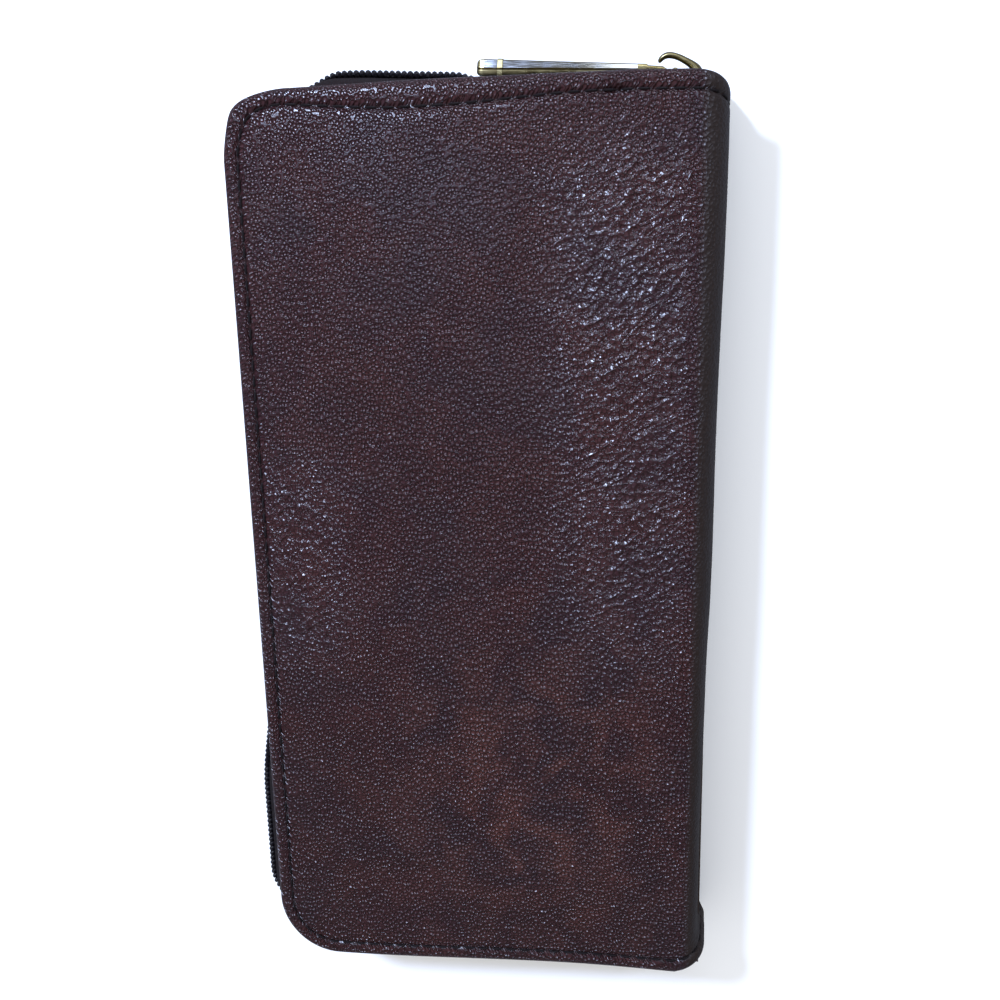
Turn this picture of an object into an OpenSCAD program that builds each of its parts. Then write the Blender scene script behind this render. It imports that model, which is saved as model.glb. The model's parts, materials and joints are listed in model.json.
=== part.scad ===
// Long zip around wallet: two stiffened covers joined by a spine, a perimeter zip,
// card leaves inside each cover and a zipped coin pocket carried on the spine.
// It lies on its back cover: X runs to the spine, Y along the spine, Z through the thickness.

/* [Overall size] */
// Length along the spine
wallet_l = 195; // [160:1:240]
// Width from the zip edge to the spine
wallet_w = 100; // [80:1:125]
// Thickness when zipped shut
wallet_t = 24; // [19:0.5:34]

/* [Covers] */
// Radius of the two corners at the zip edge
corner_r = 14; // [8:1:22]
// Thickness of the outer leather
leather_t = 1; // [0.6:0.1:1.6]
// Thickness of the stiffening board
board_t = 0.6; // [0.4:0.1:1]
// Thickness of the lining
lining_t = 0.4; // [0.2:0.1:0.8]
// Outside radius of the leather fold between a cover and the spine
fold_r = 3.5; // [3:0.1:5]
// Distance from the edge to the stitch line
seam_inset = 3.2; // [2:0.1:5]
// Width of leather turned over round the board
board_inset = 4.4; // [3:0.1:7]
// Distance from the edge to the lining
lining_inset = 0.6; // [0.4:0.1:2]
// Width of the groove that the stitches lie in
seam_w = 0.6; // [0.4:0.1:1]
// Depth of the stitch groove
seam_depth = 0.3; // [0.1:0.05:0.5]

/* [Main zip] */
// Width of one coil, from the middle of the chain outwards
coil_w = 3; // [2.4:0.1:3.6]
// Thickness of the coil
coil_t = 1.6; // [1.2:0.1:2.2]
// Thickness of the zip tape
tape_t = 0.5; // [0.3:0.05:0.7]
// Distance from the middle of the chain to the edge of each tape
tape_edge = 1.8; // [1.4:0.1:2.2]
// Width of tape that is sewn in under the cover
tape_sewn = 5.5; // [4:0.5:8]
// How far the tape stands out past the covers along the long zip edge
zip_out = 1.5; // [0.5:0.1:3]
// How far the tape lies inside the top edge at the spine end
zip_dip = 2.4; // [1:0.1:3]
// Angle at which the top run of the zip leaves the spine
zip_rise = 3.5; // [0:0.1:4]

/* [Slider and puller] */
// Length of the slider
slider_l = 13; // [10:0.5:16]
// Thickness of the slider's lips beside the coil
lip_t = 0.6; // [0.4:0.05:0.9]
// How much wider the nose of the slider is than its tail
nose_flare = 1.2; // [0.6:0.1:2]
// Thickness of each wing of the slider
wing_t = 1; // [0.8:0.1:1.4]
// Gap that the slider keeps to the coil and the tape
slide_gap = 0.2; // [0.1:0.05:0.3]
// Distance from the slider's middle to the outer face of the spine
slider_from_spine = 9; // [8.5:0.5:20]
// Height of the hook over the outer wing
hook_h = 4.5; // [3.8:0.1:6]
// Width of the hook across the slider
hook_w = 2.6; // [2:0.1:3.4]
// Length of the puller from its pivot to its free end
puller_l = 39; // [28:1:48]
// Width of the puller
puller_w = 5; // [4.4:0.1:7]
// Thickness of the puller at its free end
puller_t = 3.2; // [2:0.1:3.6]
// Angle at which the puller leans back onto the chain
puller_lean = 0.6; // [0:0.1:1]
// Diameter of the crossbar that the hook holds
crossbar_d = 1.5; // [1.2:0.05:1.7]

/* [Spine] */
// Length of the tab at each end of the spine, behind the zip's ends
tab_l = 12; // [9:0.5:20]
// Thickness of the tab
tab_t = 0.8; // [0.5:0.1:1]
// Room between the tab and the slider
tab_clear = 0.4; // [0.3:0.1:0.6]

/* [Card leaves] */
// Number of card leaves in each cover
leaf_count = 4; // [2:1:5]
// Thickness of a card leaf
leaf_t = 0.35; // [0.2:0.05:0.5]
// Room under each leaf for a card
leaf_gap = 0.35; // [0.2:0.05:0.5]
// Distance between the mouths of neighbouring leaves
leaf_step = 11; // [8:0.5:13]
// Distance from the zip edge to the first mouth
leaf_from_edge = 12; // [10:0.5:16]
// Room behind the card panel for notes
slip_gap = 0.8; // [0.5:0.1:1.2]
// Thickness of the card panel
panel_t = 0.4; // [0.3:0.05:0.8]
// Width of the seams between and beside the cards
card_seam = 3; // [2:0.5:5]

/* [Gussets] */
// Thickness of the folded cloth at the ends of the note compartments
gusset_t = 0.35; // [0.2:0.05:0.5]
// How deep the cloth is folded in
gusset_depth = 10; // [6:0.5:16]

/* [Coin pocket] */
// Thickness of the coin pocket
coin_t = 3.4; // [2.6:0.1:4.5]
// Thickness of a coin pocket wall
coin_wall = 0.5; // [0.3:0.05:0.8]
// Distance from the zip edge of the wallet to the mouth of the pocket
coin_from_edge = 30; // [28:1:36]
// Room between the ends of the pocket and the ends of the covers
coin_end = 9.5; // [8.5:0.5:15]
// Width of one coil of the coin zip
coin_coil_w = 2; // [1.6:0.1:2.4]
// Thickness of the coil of the coin zip
coin_coil_t = 1.2; // [0.9:0.1:1.6]
// Thickness of the coin zip's tape
coin_tape_t = 0.35; // [0.2:0.05:0.5]
// Length of the coin slider
coin_slider_l = 9; // [8:0.5:11]
// Length of the coin puller from its pivot
coin_puller_l = 15; // [10:0.5:16]
// Width of the coin puller
coin_puller_w = 4; // [3.6:0.1:5]
// Thickness of the coin puller
coin_puller_t = 1; // [0.8:0.1:1.2]
// Width of the loop that holds the coin puller
coin_loop_w = 1.6; // [1.2:0.1:2]

/* [Hidden] */
$fn = 48;

sewing_gap = 0.5;     // gap kept between neighbouring sewn pieces
panel_lip = 2;        // how much further in the card panel starts at the zip edge
panel_stop = 2.5;     // gap between the card panel and the fold
bottom_out = 0.7;     // how far the zip tape stands out past the bottom edge
zip_round = 1;        // how much larger the zip's corners are than the covers'
stop_l = 1.4;         // length of a zip stop
stop_shy = 0.2;       // how much narrower a zip stop is than its coil
stop_from_end = 2;    // distance from the end of the tape to the end of the coil
run_overlap = 1;      // how far the top coil runs past the slider's middle
spine_inset = 2;      // distance from the spine's ends to its board and lining
gusset_slope = 2.2;   // height of a gusset's sewn edge, in cloth thicknesses
gusset_bend = 3;      // depth of a gusset at its folded middle, in cloth thicknesses
gusset_start = 6;     // distance from the coin pocket's mouth to the gusset
cheek_gap = 0.3;      // play between a puller's eye and what holds it

edge_x = -wallet_w / 2;         // zip edge of the covers
spine_x = wallet_w / 2;         // outer face of the spine
end_y = wallet_l / 2;           // ends of the covers
mid_z = wallet_t / 2;
cover_t = leather_t + board_t + lining_t;
fold_x = spine_x - fold_r;      // where the flat of a cover ends
zip_end_x = fold_x - sewing_gap; // where the zip tape ends at the spine
spine_in_x = spine_x - cover_t; // inner face of the spine
far = wallet_l + wallet_w;      // longer than anything, for cuts

// Card panels
panel_inset = tape_sewn + sewing_gap;
panel_x0 = edge_x + panel_inset + panel_lip;
panel_x1 = fold_x - panel_stop;
panel_y = end_y - panel_inset;
panel_z = cover_t + slip_gap;
leaf_z0 = panel_z + panel_t;
leaf_pitch = leaf_t + leaf_gap;
leaf_top = leaf_z0 + leaf_count * leaf_pitch;

// Coin pocket
coin_x0 = edge_x + coin_from_edge;
coin_y = end_y - coin_end;
coin_z0 = mid_z - coin_t / 2;
coin_flare = 5;          // length of the flared mouth
coin_bend = 0.5;         // distance from the tape's bend to the end of the flare
coin_tape_end = 12;      // how far back from the mouth the tape is sewn
coin_tape_out = 1.2;     // how far the flared tape stands out past the coil
coin_tape_under = 0.4;   // how far the tape reaches under the coil
coin_coil_gap = 3;       // distance from the pocket's closed end to the coil
coin_stop_gap = 1.5;     // distance from the pocket's closed end to the stop
coin_run_gap = 8;        // distance from the pocket's other end to the coil
coin_overrun = 1.5;      // how far the slider's middle stands past the coil's end
coin_back_gap = 0.2;     // gap between the pocket's end seams and its back seam
coin_face_x = coin_x0 - coin_tape_t - coin_coil_t; // outer face of the coin coil
coin_run_y = coin_y - coin_run_gap;                // where the coin coil ends, inside the slider
gusset_clear = 0.1;      // gap between a gusset and the coin pocket

// Top run of the main zip: a straight line that rises away from the spine
run_x0 = spine_x - slider_from_spine;
run_y0 = end_y - zip_dip;
zip_left = edge_x - zip_out;
zip_bottom = -end_y - bottom_out;
zip_r = corner_r + zip_round;
zip_cx = zip_left + zip_r;
top_cy = top_y(zip_cx + zip_r * sin(zip_rise)) - zip_r * cos(zip_rise);
bottom_cy = zip_bottom + zip_r;
run_end_x = zip_cx + zip_r * sin(zip_rise);

function top_y(x) = run_y0 + (run_x0 - x) * tan(zip_rise);
function arc(cx, cy, r, a0, a1, steps = 12) =
    [for (i = [0:steps]) let (a = a0 + (a1 - a0) * i / steps) [cx + r * cos(a), cy + r * sin(a)]];

// Outline of a cover, moved out by grow, up to x1 on the spine side
module cover_plan(grow, x1) {
    r = corner_r + grow;
    cx = edge_x + corner_r;
    polygon(concat(
        [[x1, -end_y - grow]],
        arc(cx, -end_y + corner_r, r, 270, 180),
        arc(cx, end_y - corner_r, r, 180, 90),
        [[x1, end_y + grow]]
    ));
}

// Outline of the zip wall's outer face, moved out by grow
module zip_plan(grow, x1) {
    r = zip_r + grow;
    polygon(concat(
        [[x1, zip_bottom - grow]],
        arc(zip_cx, bottom_cy, r, 270, 180),
        arc(zip_cx, top_cy, r, 180, 90 - zip_rise),
        [[x1, top_y(x1) + grow / cos(zip_rise)]]
    ));
}

module zip_band(inner, outer, x1) {
    difference() {
        zip_plan(outer, x1);
        zip_plan(inner, x1 + 1);
    }
}

// The stitch line of a cover
module seam_plan() {
    difference() {
        cover_plan(-seam_inset, fold_x);
        cover_plan(-seam_inset - seam_w, fold_x + 1);
    }
}

// Turns a piece of the back cover over to make the front cover's
module to_front() {
    translate([0, 0, wallet_t]) mirror([0, 0, 1]) children();
}

// Profile in X and Z, drawn along Y from y0 to y1
module along_y(y0, y1) {
    translate([0, y1, 0]) rotate([90, 0, 0]) linear_extrude(y1 - y0) children();
}

/* Covers */
// Leather with its edge turned over round the board
module cover_leather() {
    difference() {
        linear_extrude(leather_t + board_t) cover_plan(0, fold_x);
        translate([0, 0, leather_t]) linear_extrude(wallet_t) cover_plan(-board_inset, fold_x + 1);
        translate([0, 0, -1]) linear_extrude(1 + seam_depth) seam_plan();
    }
}

module cover_board() {
    translate([0, 0, leather_t]) linear_extrude(board_t) cover_plan(-board_inset, fold_x);
}

module cover_lining() {
    translate([0, 0, leather_t + board_t]) linear_extrude(lining_t) cover_plan(-lining_inset, fold_x);
}

module cover_seam() {
    linear_extrude(seam_depth) seam_plan();
}

// Quarter round of leather from the cover to the spine
module cover_fold() {
    along_y(-end_y, end_y) intersection() {
        difference() {
            translate([fold_x, fold_r]) circle(r = fold_r);
            translate([fold_x, fold_r]) circle(r = fold_r - cover_t);
        }
        translate([fold_x, 0]) square(fold_r);
    }
}

/* Main zip */
module zip_tape() {
    wall_top = mid_z - tape_edge;
    translate([0, 0, cover_t]) linear_extrude(wall_top - cover_t) zip_band(-tape_t, 0, zip_end_x);
    translate([0, 0, cover_t]) linear_extrude(tape_t) difference() {
        zip_plan(0, zip_end_x);
        cover_plan(-tape_sewn, zip_end_x + 1);
    }
}

module coil_band(x1) {
    translate([0, 0, mid_z - coil_w]) linear_extrude(coil_w) zip_band(0, coil_t, x1);
}

module top_run_cut(x0, x1) {
    translate([x0, 0, 0]) cube([x1 - x0, far, wallet_t]);
}

module coil_top() {
    intersection() {
        coil_band(run_x0 + run_overlap);
        top_run_cut(run_end_x, far);
    }
}

module coil_side() {
    difference() {
        coil_band(zip_end_x - stop_from_end);
        top_run_cut(run_end_x, far);
    }
}

// A stop at each end of the coil, clear of the slider's nose
module zip_stops() {
    translate([zip_end_x - stop_from_end, zip_bottom - coil_t, mid_z - coil_w])
        cube([stop_l, coil_t, coil_w - stop_shy]);
}

/* Card panels */
// The rails start past the round of the sewn-in tape
module panel_rails() {
    rail_x0 = edge_x + corner_r;
    for (side = [-1, 1]) {
        translate([rail_x0, side * (panel_y - card_seam / 2) - card_seam / 2, cover_t])
            cube([panel_x1 - rail_x0, card_seam, slip_gap]);
    }
}

module card_panel() {
    translate([panel_x0, -panel_y, panel_z]) cube([panel_x1 - panel_x0, 2 * panel_y, panel_t]);
}

function mouth_x(i) = edge_x + leaf_from_edge + i * leaf_step;

// Leaf i counts up from the one whose mouth is nearest the zip edge
module card_leaf(i) {
    column = panel_y - card_seam / 2 - card_seam;
    for (side = [0, 1]) {
        mirror([0, side, 0]) translate([mouth_x(i), card_seam / 2, leaf_z0 + i * leaf_pitch + leaf_gap])
            cube([panel_x1 - mouth_x(i), column, leaf_t]);
    }
}

module card_seams() {
    for (y = [-panel_y, -card_seam / 2, panel_y - card_seam]) {
        along_y(y, y + card_seam) polygon([
            [mouth_x(0), leaf_z0], [panel_x1, leaf_z0], [panel_x1, leaf_top],
            [mouth_x(leaf_count - 1), leaf_top], [mouth_x(0), leaf_z0 + leaf_pitch]
        ]);
    }
}

// Folded side of the note compartment, closing one end between panel and coin pocket
module gusset(side) {
    z0 = leaf_top;
    z1 = coin_z0 - gusset_clear;
    y0 = coin_y;
    slope = gusset_t * gusset_slope;
    x0 = coin_x0 + gusset_start;
    mirror([0, side, 0]) translate([x0, 0, 0]) rotate([90, 0, 90]) linear_extrude(panel_x1 - x0)
        polygon([
            [y0, z0], [y0 - gusset_depth, (z0 + z1) / 2], [y0, z1],
            [y0, z1 - slope], [y0 - gusset_depth + gusset_bend * gusset_t, (z0 + z1) / 2], [y0, z0 + slope]
        ]);
}

/* Spine */
module spine_slab(x0, x1, inset) {
    translate([x0, -end_y + inset, fold_r]) cube([x1 - x0, wallet_l - 2 * inset, wallet_t - 2 * fold_r]);
}

module seam_ends() {
    for (side = [-1, 1]) {
        translate([spine_x - seam_depth, side * (end_y - seam_inset - seam_w / 2) - seam_w / 2, fold_r])
            cube([1, seam_w, wallet_t - 2 * fold_r]);
    }
}

// Leather tab that closes the end of the wallet between the zip's end and the spine
module spine_tab(side) {
    slider_in = top_y(run_x0 + slider_l / 2) - tape_t - slide_gap - wing_t;
    mirror([0, side, 0]) translate([spine_in_x - tab_l, slider_in - tab_clear - tab_t, fold_r])
        cube([tab_l, tab_t, wallet_t - 2 * fold_r]);
}

/* Coin pocket */
module coin_wall_slab(z) {
    x0 = coin_x0 + coin_flare;
    translate([x0, -coin_y, z]) cube([spine_in_x - x0, 2 * coin_y, coin_wall]);
}

// Tape that runs behind the coil, flares back to the wall and is sewn in behind it
module coin_half_tape() {
    z_in = coin_z0 + coin_wall;
    z_out = mid_z - coin_coil_w - coin_tape_out;
    edge = mid_z - coin_coil_w + coin_tape_under;
    t = coin_tape_t;
    x = coin_x0;
    along_y(-coin_y, coin_y) polygon([
        [x, edge], [x, z_out], [x + coin_flare - coin_bend, z_in + t], [x + coin_tape_end, z_in + t],
        [x + coin_tape_end, z_in], [x + coin_flare - coin_bend, z_in], [x - t, z_out - t], [x - t, edge]
    ]);
}

module coin_half_coil() {
    y0 = -coin_y + coin_coil_gap;
    translate([coin_face_x, y0, mid_z - coin_coil_w]) cube([coin_coil_t, coin_run_y - y0, coin_coil_w]);
}

/* Sliders, drawn with the chain along X, the coil's outer face at y = 0 and the nose at +X */
module wing(l, nose_w, tail_w) {
    n = nose_w / 2;
    t = tail_w / 2;
    h = l / 2;
    tail_cut = 0.6;
    nose_cut = 0.7;
    widen_from = h * 0.1;
    widen_to = h * 0.5;
    rotate([90, 0, 0]) linear_extrude(wing_t, center = true) polygon([
        [-h, -t + tail_cut], [-h + tail_cut, -t], [widen_from, -t], [widen_to, -n],
        [h - nose_cut, -n], [h, -n + nose_cut], [h, n - nose_cut], [h - nose_cut, n],
        [widen_to, n], [widen_from, t], [-h + tail_cut, t], [-h, t - tail_cut]
    ]);
}

// Two wings joined by a wedge at the nose; coil_half is half the chain's width, depth its thickness
// with the tape, and inner_cut how much narrower the inner wing is
module slider(l, coil_half, depth, lip, flare, inner_cut, wedge_half) {
    outer_y = slide_gap + wing_t / 2;
    inner_y = -depth - slide_gap - wing_t / 2;
    lip_in = coil_half + slide_gap;
    tail_w = 2 * (lip_in + lip_t);
    lip_from_tail = 0.8;
    lip_l = l * 0.72;
    wedge_tip = l * 0.16;
    wedge_wide = l * 0.32;
    wedge_end = l * 0.46;
    end_half = wedge_half * 0.7;
    translate([0, outer_y, 0]) wing(l, tail_w + flare, tail_w);
    translate([0, inner_y, 0]) wing(l, tail_w + flare - inner_cut, tail_w - inner_cut);
    for (side = [-1, 1]) {
        translate([-l / 2 + lip_from_tail, slide_gap - lip, side * (lip_in + lip_t / 2) - lip_t / 2])
            cube([lip_l, lip, lip_t]);
    }
    translate([0, slide_gap, 0]) rotate([90, 0, 0]) linear_extrude(depth + 2 * slide_gap) polygon([
        [wedge_tip, 0], [wedge_wide, -wedge_half], [wedge_end, -end_half],
        [wedge_end, end_half], [wedge_wide, wedge_half]
    ]);
}

// Places the main slider's drawing on the top run
module on_run() {
    translate([run_x0, top_y(run_x0) + coil_t / cos(zip_rise), mid_z]) rotate([0, 0, -zip_rise]) children();
}

// Places the coin slider's drawing on the coin zip, with its nose along +Y and its outside along -X
module on_coin_run() {
    translate([coin_face_x, coin_run_y + coin_overrun, mid_z]) rotate([0, 0, 90]) children();
}

wing_face = slide_gap + wing_t;                          // top of the outer wing
pivot_x = -1.6;                                          // crossbar, from the slider's middle
pivot_gap = 0.15;                                        // play between crossbar and wing
pivot_y = wing_face + crossbar_d / 2 + pivot_gap;
coin_pivot_gap = 0.4;                                    // play between coin puller and wing
coin_pivot_y = wing_face + coin_puller_t / 2 + coin_pivot_gap;

function ellipse_arc(cx, cy, rx, ry, a0, a1, steps) =
    [for (i = [0:steps]) let (a = a0 + (a1 - a0) * i / steps) [cx + rx * cos(a), cy + ry * sin(a)]];

module hook_profile() {
    peak_x = -2.7;
    back_r = 6.5;
    root_t = 2.2;
    curl = 2.5;
    tip = 1.2;
    polygon(concat(
        ellipse_arc(peak_x, wing_face, back_r, hook_h, 0, 90, 10),
        ellipse_arc(peak_x, wing_face + hook_h - curl, curl, curl, 90, 178, 8),
        ellipse_arc(peak_x, wing_face + hook_h - curl, curl - tip, curl - tip, 178, 90, 8),
        ellipse_arc(peak_x, wing_face, back_r - root_t, hook_h - tip, 90, 0, 10)
    ));
}

/* One module for each node */
module back_leather() { color([0.20, 0.11, 0.12]) cover_leather(); }
module back_board() { color([0.55, 0.5, 0.42]) cover_board(); }
module back_lining() { color([0.16, 0.10, 0.09]) cover_lining(); }
module back_seam() { color([0.06, 0.04, 0.04]) cover_seam(); }
module back_fold() { color([0.18, 0.12, 0.11]) cover_fold(); }
module back_zip_tape() { color([0.09, 0.06, 0.06]) zip_tape(); }
module back_coil_top() { color([0.05, 0.05, 0.06]) coil_top(); }
module back_coil_side() { color([0.05, 0.05, 0.06]) coil_side(); }
module back_zip_stops() { color([0.42, 0.38, 0.2]) zip_stops(); }
module back_panel_rails() { color([0.2, 0.12, 0.11]) panel_rails(); }
module back_card_panel() { color([0.17, 0.11, 0.1]) card_panel(); }
module back_card_seams() { color([0.2, 0.12, 0.11]) card_seams(); }
module back_card_leaf_1() { color([0.24, 0.14, 0.13]) card_leaf(0); }
module back_card_leaf_2() { color([0.24, 0.14, 0.13]) card_leaf(1); }
module back_card_leaf_3() { color([0.24, 0.14, 0.13]) card_leaf(2); }
module back_card_leaf_4() { color([0.24, 0.14, 0.13]) card_leaf(3); }
module back_gusset_top() { color([0.18, 0.12, 0.11]) gusset(0); }
module back_gusset_bottom() { color([0.18, 0.12, 0.11]) gusset(1); }
module front_leather() { color([0.20, 0.11, 0.12]) to_front() cover_leather(); }
module front_board() { color([0.55, 0.5, 0.42]) to_front() cover_board(); }
module front_lining() { color([0.16, 0.10, 0.09]) to_front() cover_lining(); }
module front_seam() { color([0.06, 0.04, 0.04]) to_front() cover_seam(); }
module front_fold() { color([0.18, 0.12, 0.11]) to_front() cover_fold(); }
module front_zip_tape() { color([0.09, 0.06, 0.06]) to_front() zip_tape(); }
module front_coil_top() { color([0.05, 0.05, 0.06]) to_front() coil_top(); }
module front_coil_side() { color([0.05, 0.05, 0.06]) to_front() coil_side(); }
module front_zip_stops() { color([0.42, 0.38, 0.2]) to_front() zip_stops(); }
module front_panel_rails() { color([0.2, 0.12, 0.11]) to_front() panel_rails(); }
module front_card_panel() { color([0.17, 0.11, 0.1]) to_front() card_panel(); }
module front_card_seams() { color([0.2, 0.12, 0.11]) to_front() card_seams(); }
module front_card_leaf_1() { color([0.24, 0.14, 0.13]) to_front() card_leaf(0); }
module front_card_leaf_2() { color([0.24, 0.14, 0.13]) to_front() card_leaf(1); }
module front_card_leaf_3() { color([0.24, 0.14, 0.13]) to_front() card_leaf(2); }
module front_card_leaf_4() { color([0.24, 0.14, 0.13]) to_front() card_leaf(3); }
module front_gusset_top() { color([0.18, 0.12, 0.11]) to_front() gusset(0); }
module front_gusset_bottom() { color([0.18, 0.12, 0.11]) to_front() gusset(1); }

module spine_leather() {
    color([0.18, 0.12, 0.11]) difference() {
        spine_slab(spine_x - leather_t, spine_x, 0);
        seam_ends();
    }
}
module spine_board() {
    x1 = spine_x - leather_t;
    color([0.55, 0.5, 0.42]) spine_slab(x1 - board_t, x1, spine_inset);
}
module spine_lining() { color([0.16, 0.10, 0.09]) spine_slab(spine_in_x, spine_in_x + lining_t, spine_inset); }
module spine_seam() {
    color([0.06, 0.04, 0.04]) intersection() {
        seam_ends();
        spine_slab(spine_x - leather_t, spine_x, 0);
    }
}

module spine_tab_top() { color([0.18, 0.12, 0.11]) spine_tab(0); }
module spine_tab_bottom() { color([0.18, 0.12, 0.11]) spine_tab(1); }

module coin_wall_back() { color([0.2, 0.12, 0.11]) coin_wall_slab(coin_z0); }
module coin_wall_front() { color([0.2, 0.12, 0.11]) coin_wall_slab(mid_z + coin_t / 2 - coin_wall); }
module coin_seams() {
    seam_h = coin_t - 2 * coin_wall;
    z0 = coin_z0 + coin_wall;
    seam_x0 = coin_x0 + coin_tape_end + sewing_gap;
    color([0.17, 0.11, 0.1]) {
        for (side = [-1, 1]) {
            translate([seam_x0, side * (coin_y - card_seam / 2) - card_seam / 2, z0])
                cube([spine_in_x - card_seam - coin_back_gap - seam_x0, card_seam, seam_h]);
        }
        translate([spine_in_x - card_seam, -coin_y, z0]) cube([card_seam, 2 * coin_y, seam_h]);
    }
}
module coin_tape_back() { color([0.09, 0.06, 0.06]) coin_half_tape(); }
module coin_tape_front() { color([0.09, 0.06, 0.06]) to_front() coin_half_tape(); }
module coin_coil_back() { color([0.05, 0.05, 0.06]) coin_half_coil(); }
module coin_coil_front() { color([0.05, 0.05, 0.06]) to_front() coin_half_coil(); }
module coin_stops() {
    color([0.42, 0.38, 0.2]) translate([coin_face_x, -coin_y + coin_stop_gap, mid_z - coin_coil_w])
        cube([coin_coil_t, stop_l, 2 * coin_coil_w]);
}

module slider_body() {
    lip = coil_t - 0.4;
    wedge_half = tape_edge - 0.7;
    color([0.42, 0.38, 0.2]) on_run()
        slider(slider_l, coil_w, coil_t + tape_t, lip, nose_flare, 0, wedge_half);
}
module slider_hook() {
    color([0.42, 0.38, 0.2]) on_run() linear_extrude(hook_w, center = true) hook_profile();
}

// Tapered bar with an eye at the hook's end, its crossbar along Z at the pivot
module puller() {
    eye_l = 6.6;
    end_cut = 1;
    end_r = 1.6;
    cheek_in = hook_w / 2 + cheek_gap;
    r = crossbar_d / 2;
    far_r = puller_t / 2;
    color([0.42, 0.38, 0.2]) on_run() translate([pivot_x, pivot_y, 0]) rotate([0, 0, puller_lean]) {
        cylinder(h = puller_w, r = r, center = true);
        difference() {
            intersection() {
                linear_extrude(puller_w, center = true) polygon(concat(
                    [[0, r], [0, -r], [-puller_l + end_cut, -far_r], [-puller_l, -far_r + end_cut]],
                    [[-puller_l, far_r - end_cut], [-puller_l + end_cut, far_r]]
                ));
                rotate([90, 0, 0]) linear_extrude(puller_t + 1, center = true) polygon(concat(
                    [[1, -puller_w / 2], [1, puller_w / 2]],
                    arc(-puller_l + end_r, puller_w / 2 - end_r, end_r, 90, 180, 6),
                    arc(-puller_l + end_r, -puller_w / 2 + end_r, end_r, 180, 270, 6)
                ));
            }
            translate([-eye_l, -far_r, -cheek_in]) cube([eye_l + 1, puller_t, 2 * cheek_in]);
        }
    }
}

module coin_slider_body() {
    lip = coin_coil_t - 0.3;
    flare = 0.8;
    inner_cut = 1.8;
    wedge_half = 0.75;
    color([0.42, 0.38, 0.2]) on_coin_run()
        slider(coin_slider_l, coin_coil_w, coin_coil_t + coin_tape_t, lip, flare, inner_cut, wedge_half);
}
module coin_slider_loop() {
    bar = 0.8;
    loop_gap = 0.6;
    loop_h = coin_puller_t + loop_gap + bar;
    loop_l = 5;
    color([0.42, 0.38, 0.2]) on_coin_run() linear_extrude(coin_loop_w, center = true) difference() {
        translate([-loop_l / 2, wing_face]) square([loop_l, loop_h]);
        translate([-loop_l / 2 + bar, wing_face - 1]) square([loop_l - 2 * bar, loop_h - bar + 1]);
    }
}
module coin_puller() {
    w = coin_puller_w;
    t = coin_puller_t;
    cheek_in = coin_loop_w / 2 + cheek_gap;
    eye_l = 4.6;
    color([0.42, 0.38, 0.2]) on_coin_run() translate([0, coin_pivot_y, 0]) {
        cylinder(h = w, d = t, center = true);
        difference() {
            translate([-coin_puller_l, -t / 2, -w / 2]) cube([coin_puller_l, t, w]);
            translate([-eye_l, -t, -cheek_in]) cube([eye_l + 1, 2 * t, 2 * cheek_in]);
        }
    }
}

back_leather();
back_board();
back_lining();
back_seam();
back_fold();
back_zip_tape();
back_coil_top();
back_coil_side();
back_zip_stops();
back_panel_rails();
back_card_panel();
back_card_seams();
back_card_leaf_1();
back_card_leaf_2();
back_card_leaf_3();
back_card_leaf_4();
back_gusset_top();
back_gusset_bottom();
front_leather();
front_board();
front_lining();
front_seam();
front_fold();
front_zip_tape();
front_coil_top();
front_coil_side();
front_zip_stops();
front_panel_rails();
front_card_panel();
front_card_seams();
front_card_leaf_1();
front_card_leaf_2();
front_card_leaf_3();
front_card_leaf_4();
front_gusset_top();
front_gusset_bottom();
spine_leather();
spine_board();
spine_lining();
spine_seam();
spine_tab_top();
spine_tab_bottom();
coin_wall_back();
coin_wall_front();
coin_seams();
coin_tape_back();
coin_tape_front();
coin_coil_back();
coin_coil_front();
coin_stops();
slider_body();
slider_hook();
puller();
coin_slider_body();
coin_slider_loop();
coin_puller();
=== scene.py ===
"""Long zip around wallet: leather wraps, linings, zip, metal parts, card panels and coin pocket."""

import json
import math

import bmesh
import bpy
import numpy as np
from mathutils import Matrix, Vector


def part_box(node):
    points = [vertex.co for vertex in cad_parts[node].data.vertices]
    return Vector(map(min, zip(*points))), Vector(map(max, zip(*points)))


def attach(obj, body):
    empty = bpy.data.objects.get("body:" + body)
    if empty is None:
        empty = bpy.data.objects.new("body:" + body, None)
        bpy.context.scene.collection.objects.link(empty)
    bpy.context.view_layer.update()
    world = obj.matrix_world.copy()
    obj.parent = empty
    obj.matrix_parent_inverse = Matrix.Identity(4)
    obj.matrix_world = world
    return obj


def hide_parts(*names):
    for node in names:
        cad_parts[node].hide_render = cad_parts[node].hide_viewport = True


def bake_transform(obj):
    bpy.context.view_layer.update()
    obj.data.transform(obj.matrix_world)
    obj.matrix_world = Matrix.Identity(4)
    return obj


bl_info = {
    "name": "Zip around wallet",
    "version": (1, 0, 0),
    "blender": (4, 5, 0),
    "location": "View3D > Sidebar > Wallet",
    "description": "Builds the leather, zip, metal and inside of a long zip around wallet",
    "category": "Object",
}

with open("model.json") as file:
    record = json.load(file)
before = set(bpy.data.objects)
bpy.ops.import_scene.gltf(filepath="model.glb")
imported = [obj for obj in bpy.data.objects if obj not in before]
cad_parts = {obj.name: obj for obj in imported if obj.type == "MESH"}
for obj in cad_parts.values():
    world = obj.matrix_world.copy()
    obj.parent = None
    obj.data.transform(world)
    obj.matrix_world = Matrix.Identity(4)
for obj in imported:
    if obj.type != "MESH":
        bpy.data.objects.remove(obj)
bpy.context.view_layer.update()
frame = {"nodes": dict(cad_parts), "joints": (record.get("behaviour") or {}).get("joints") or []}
MM = 0.001


def span(node):
    """Lowest and highest corner of a CAD node, in millimetres."""
    low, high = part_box(node)
    return np.array(low) / MM, np.array(high) / MM


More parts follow.
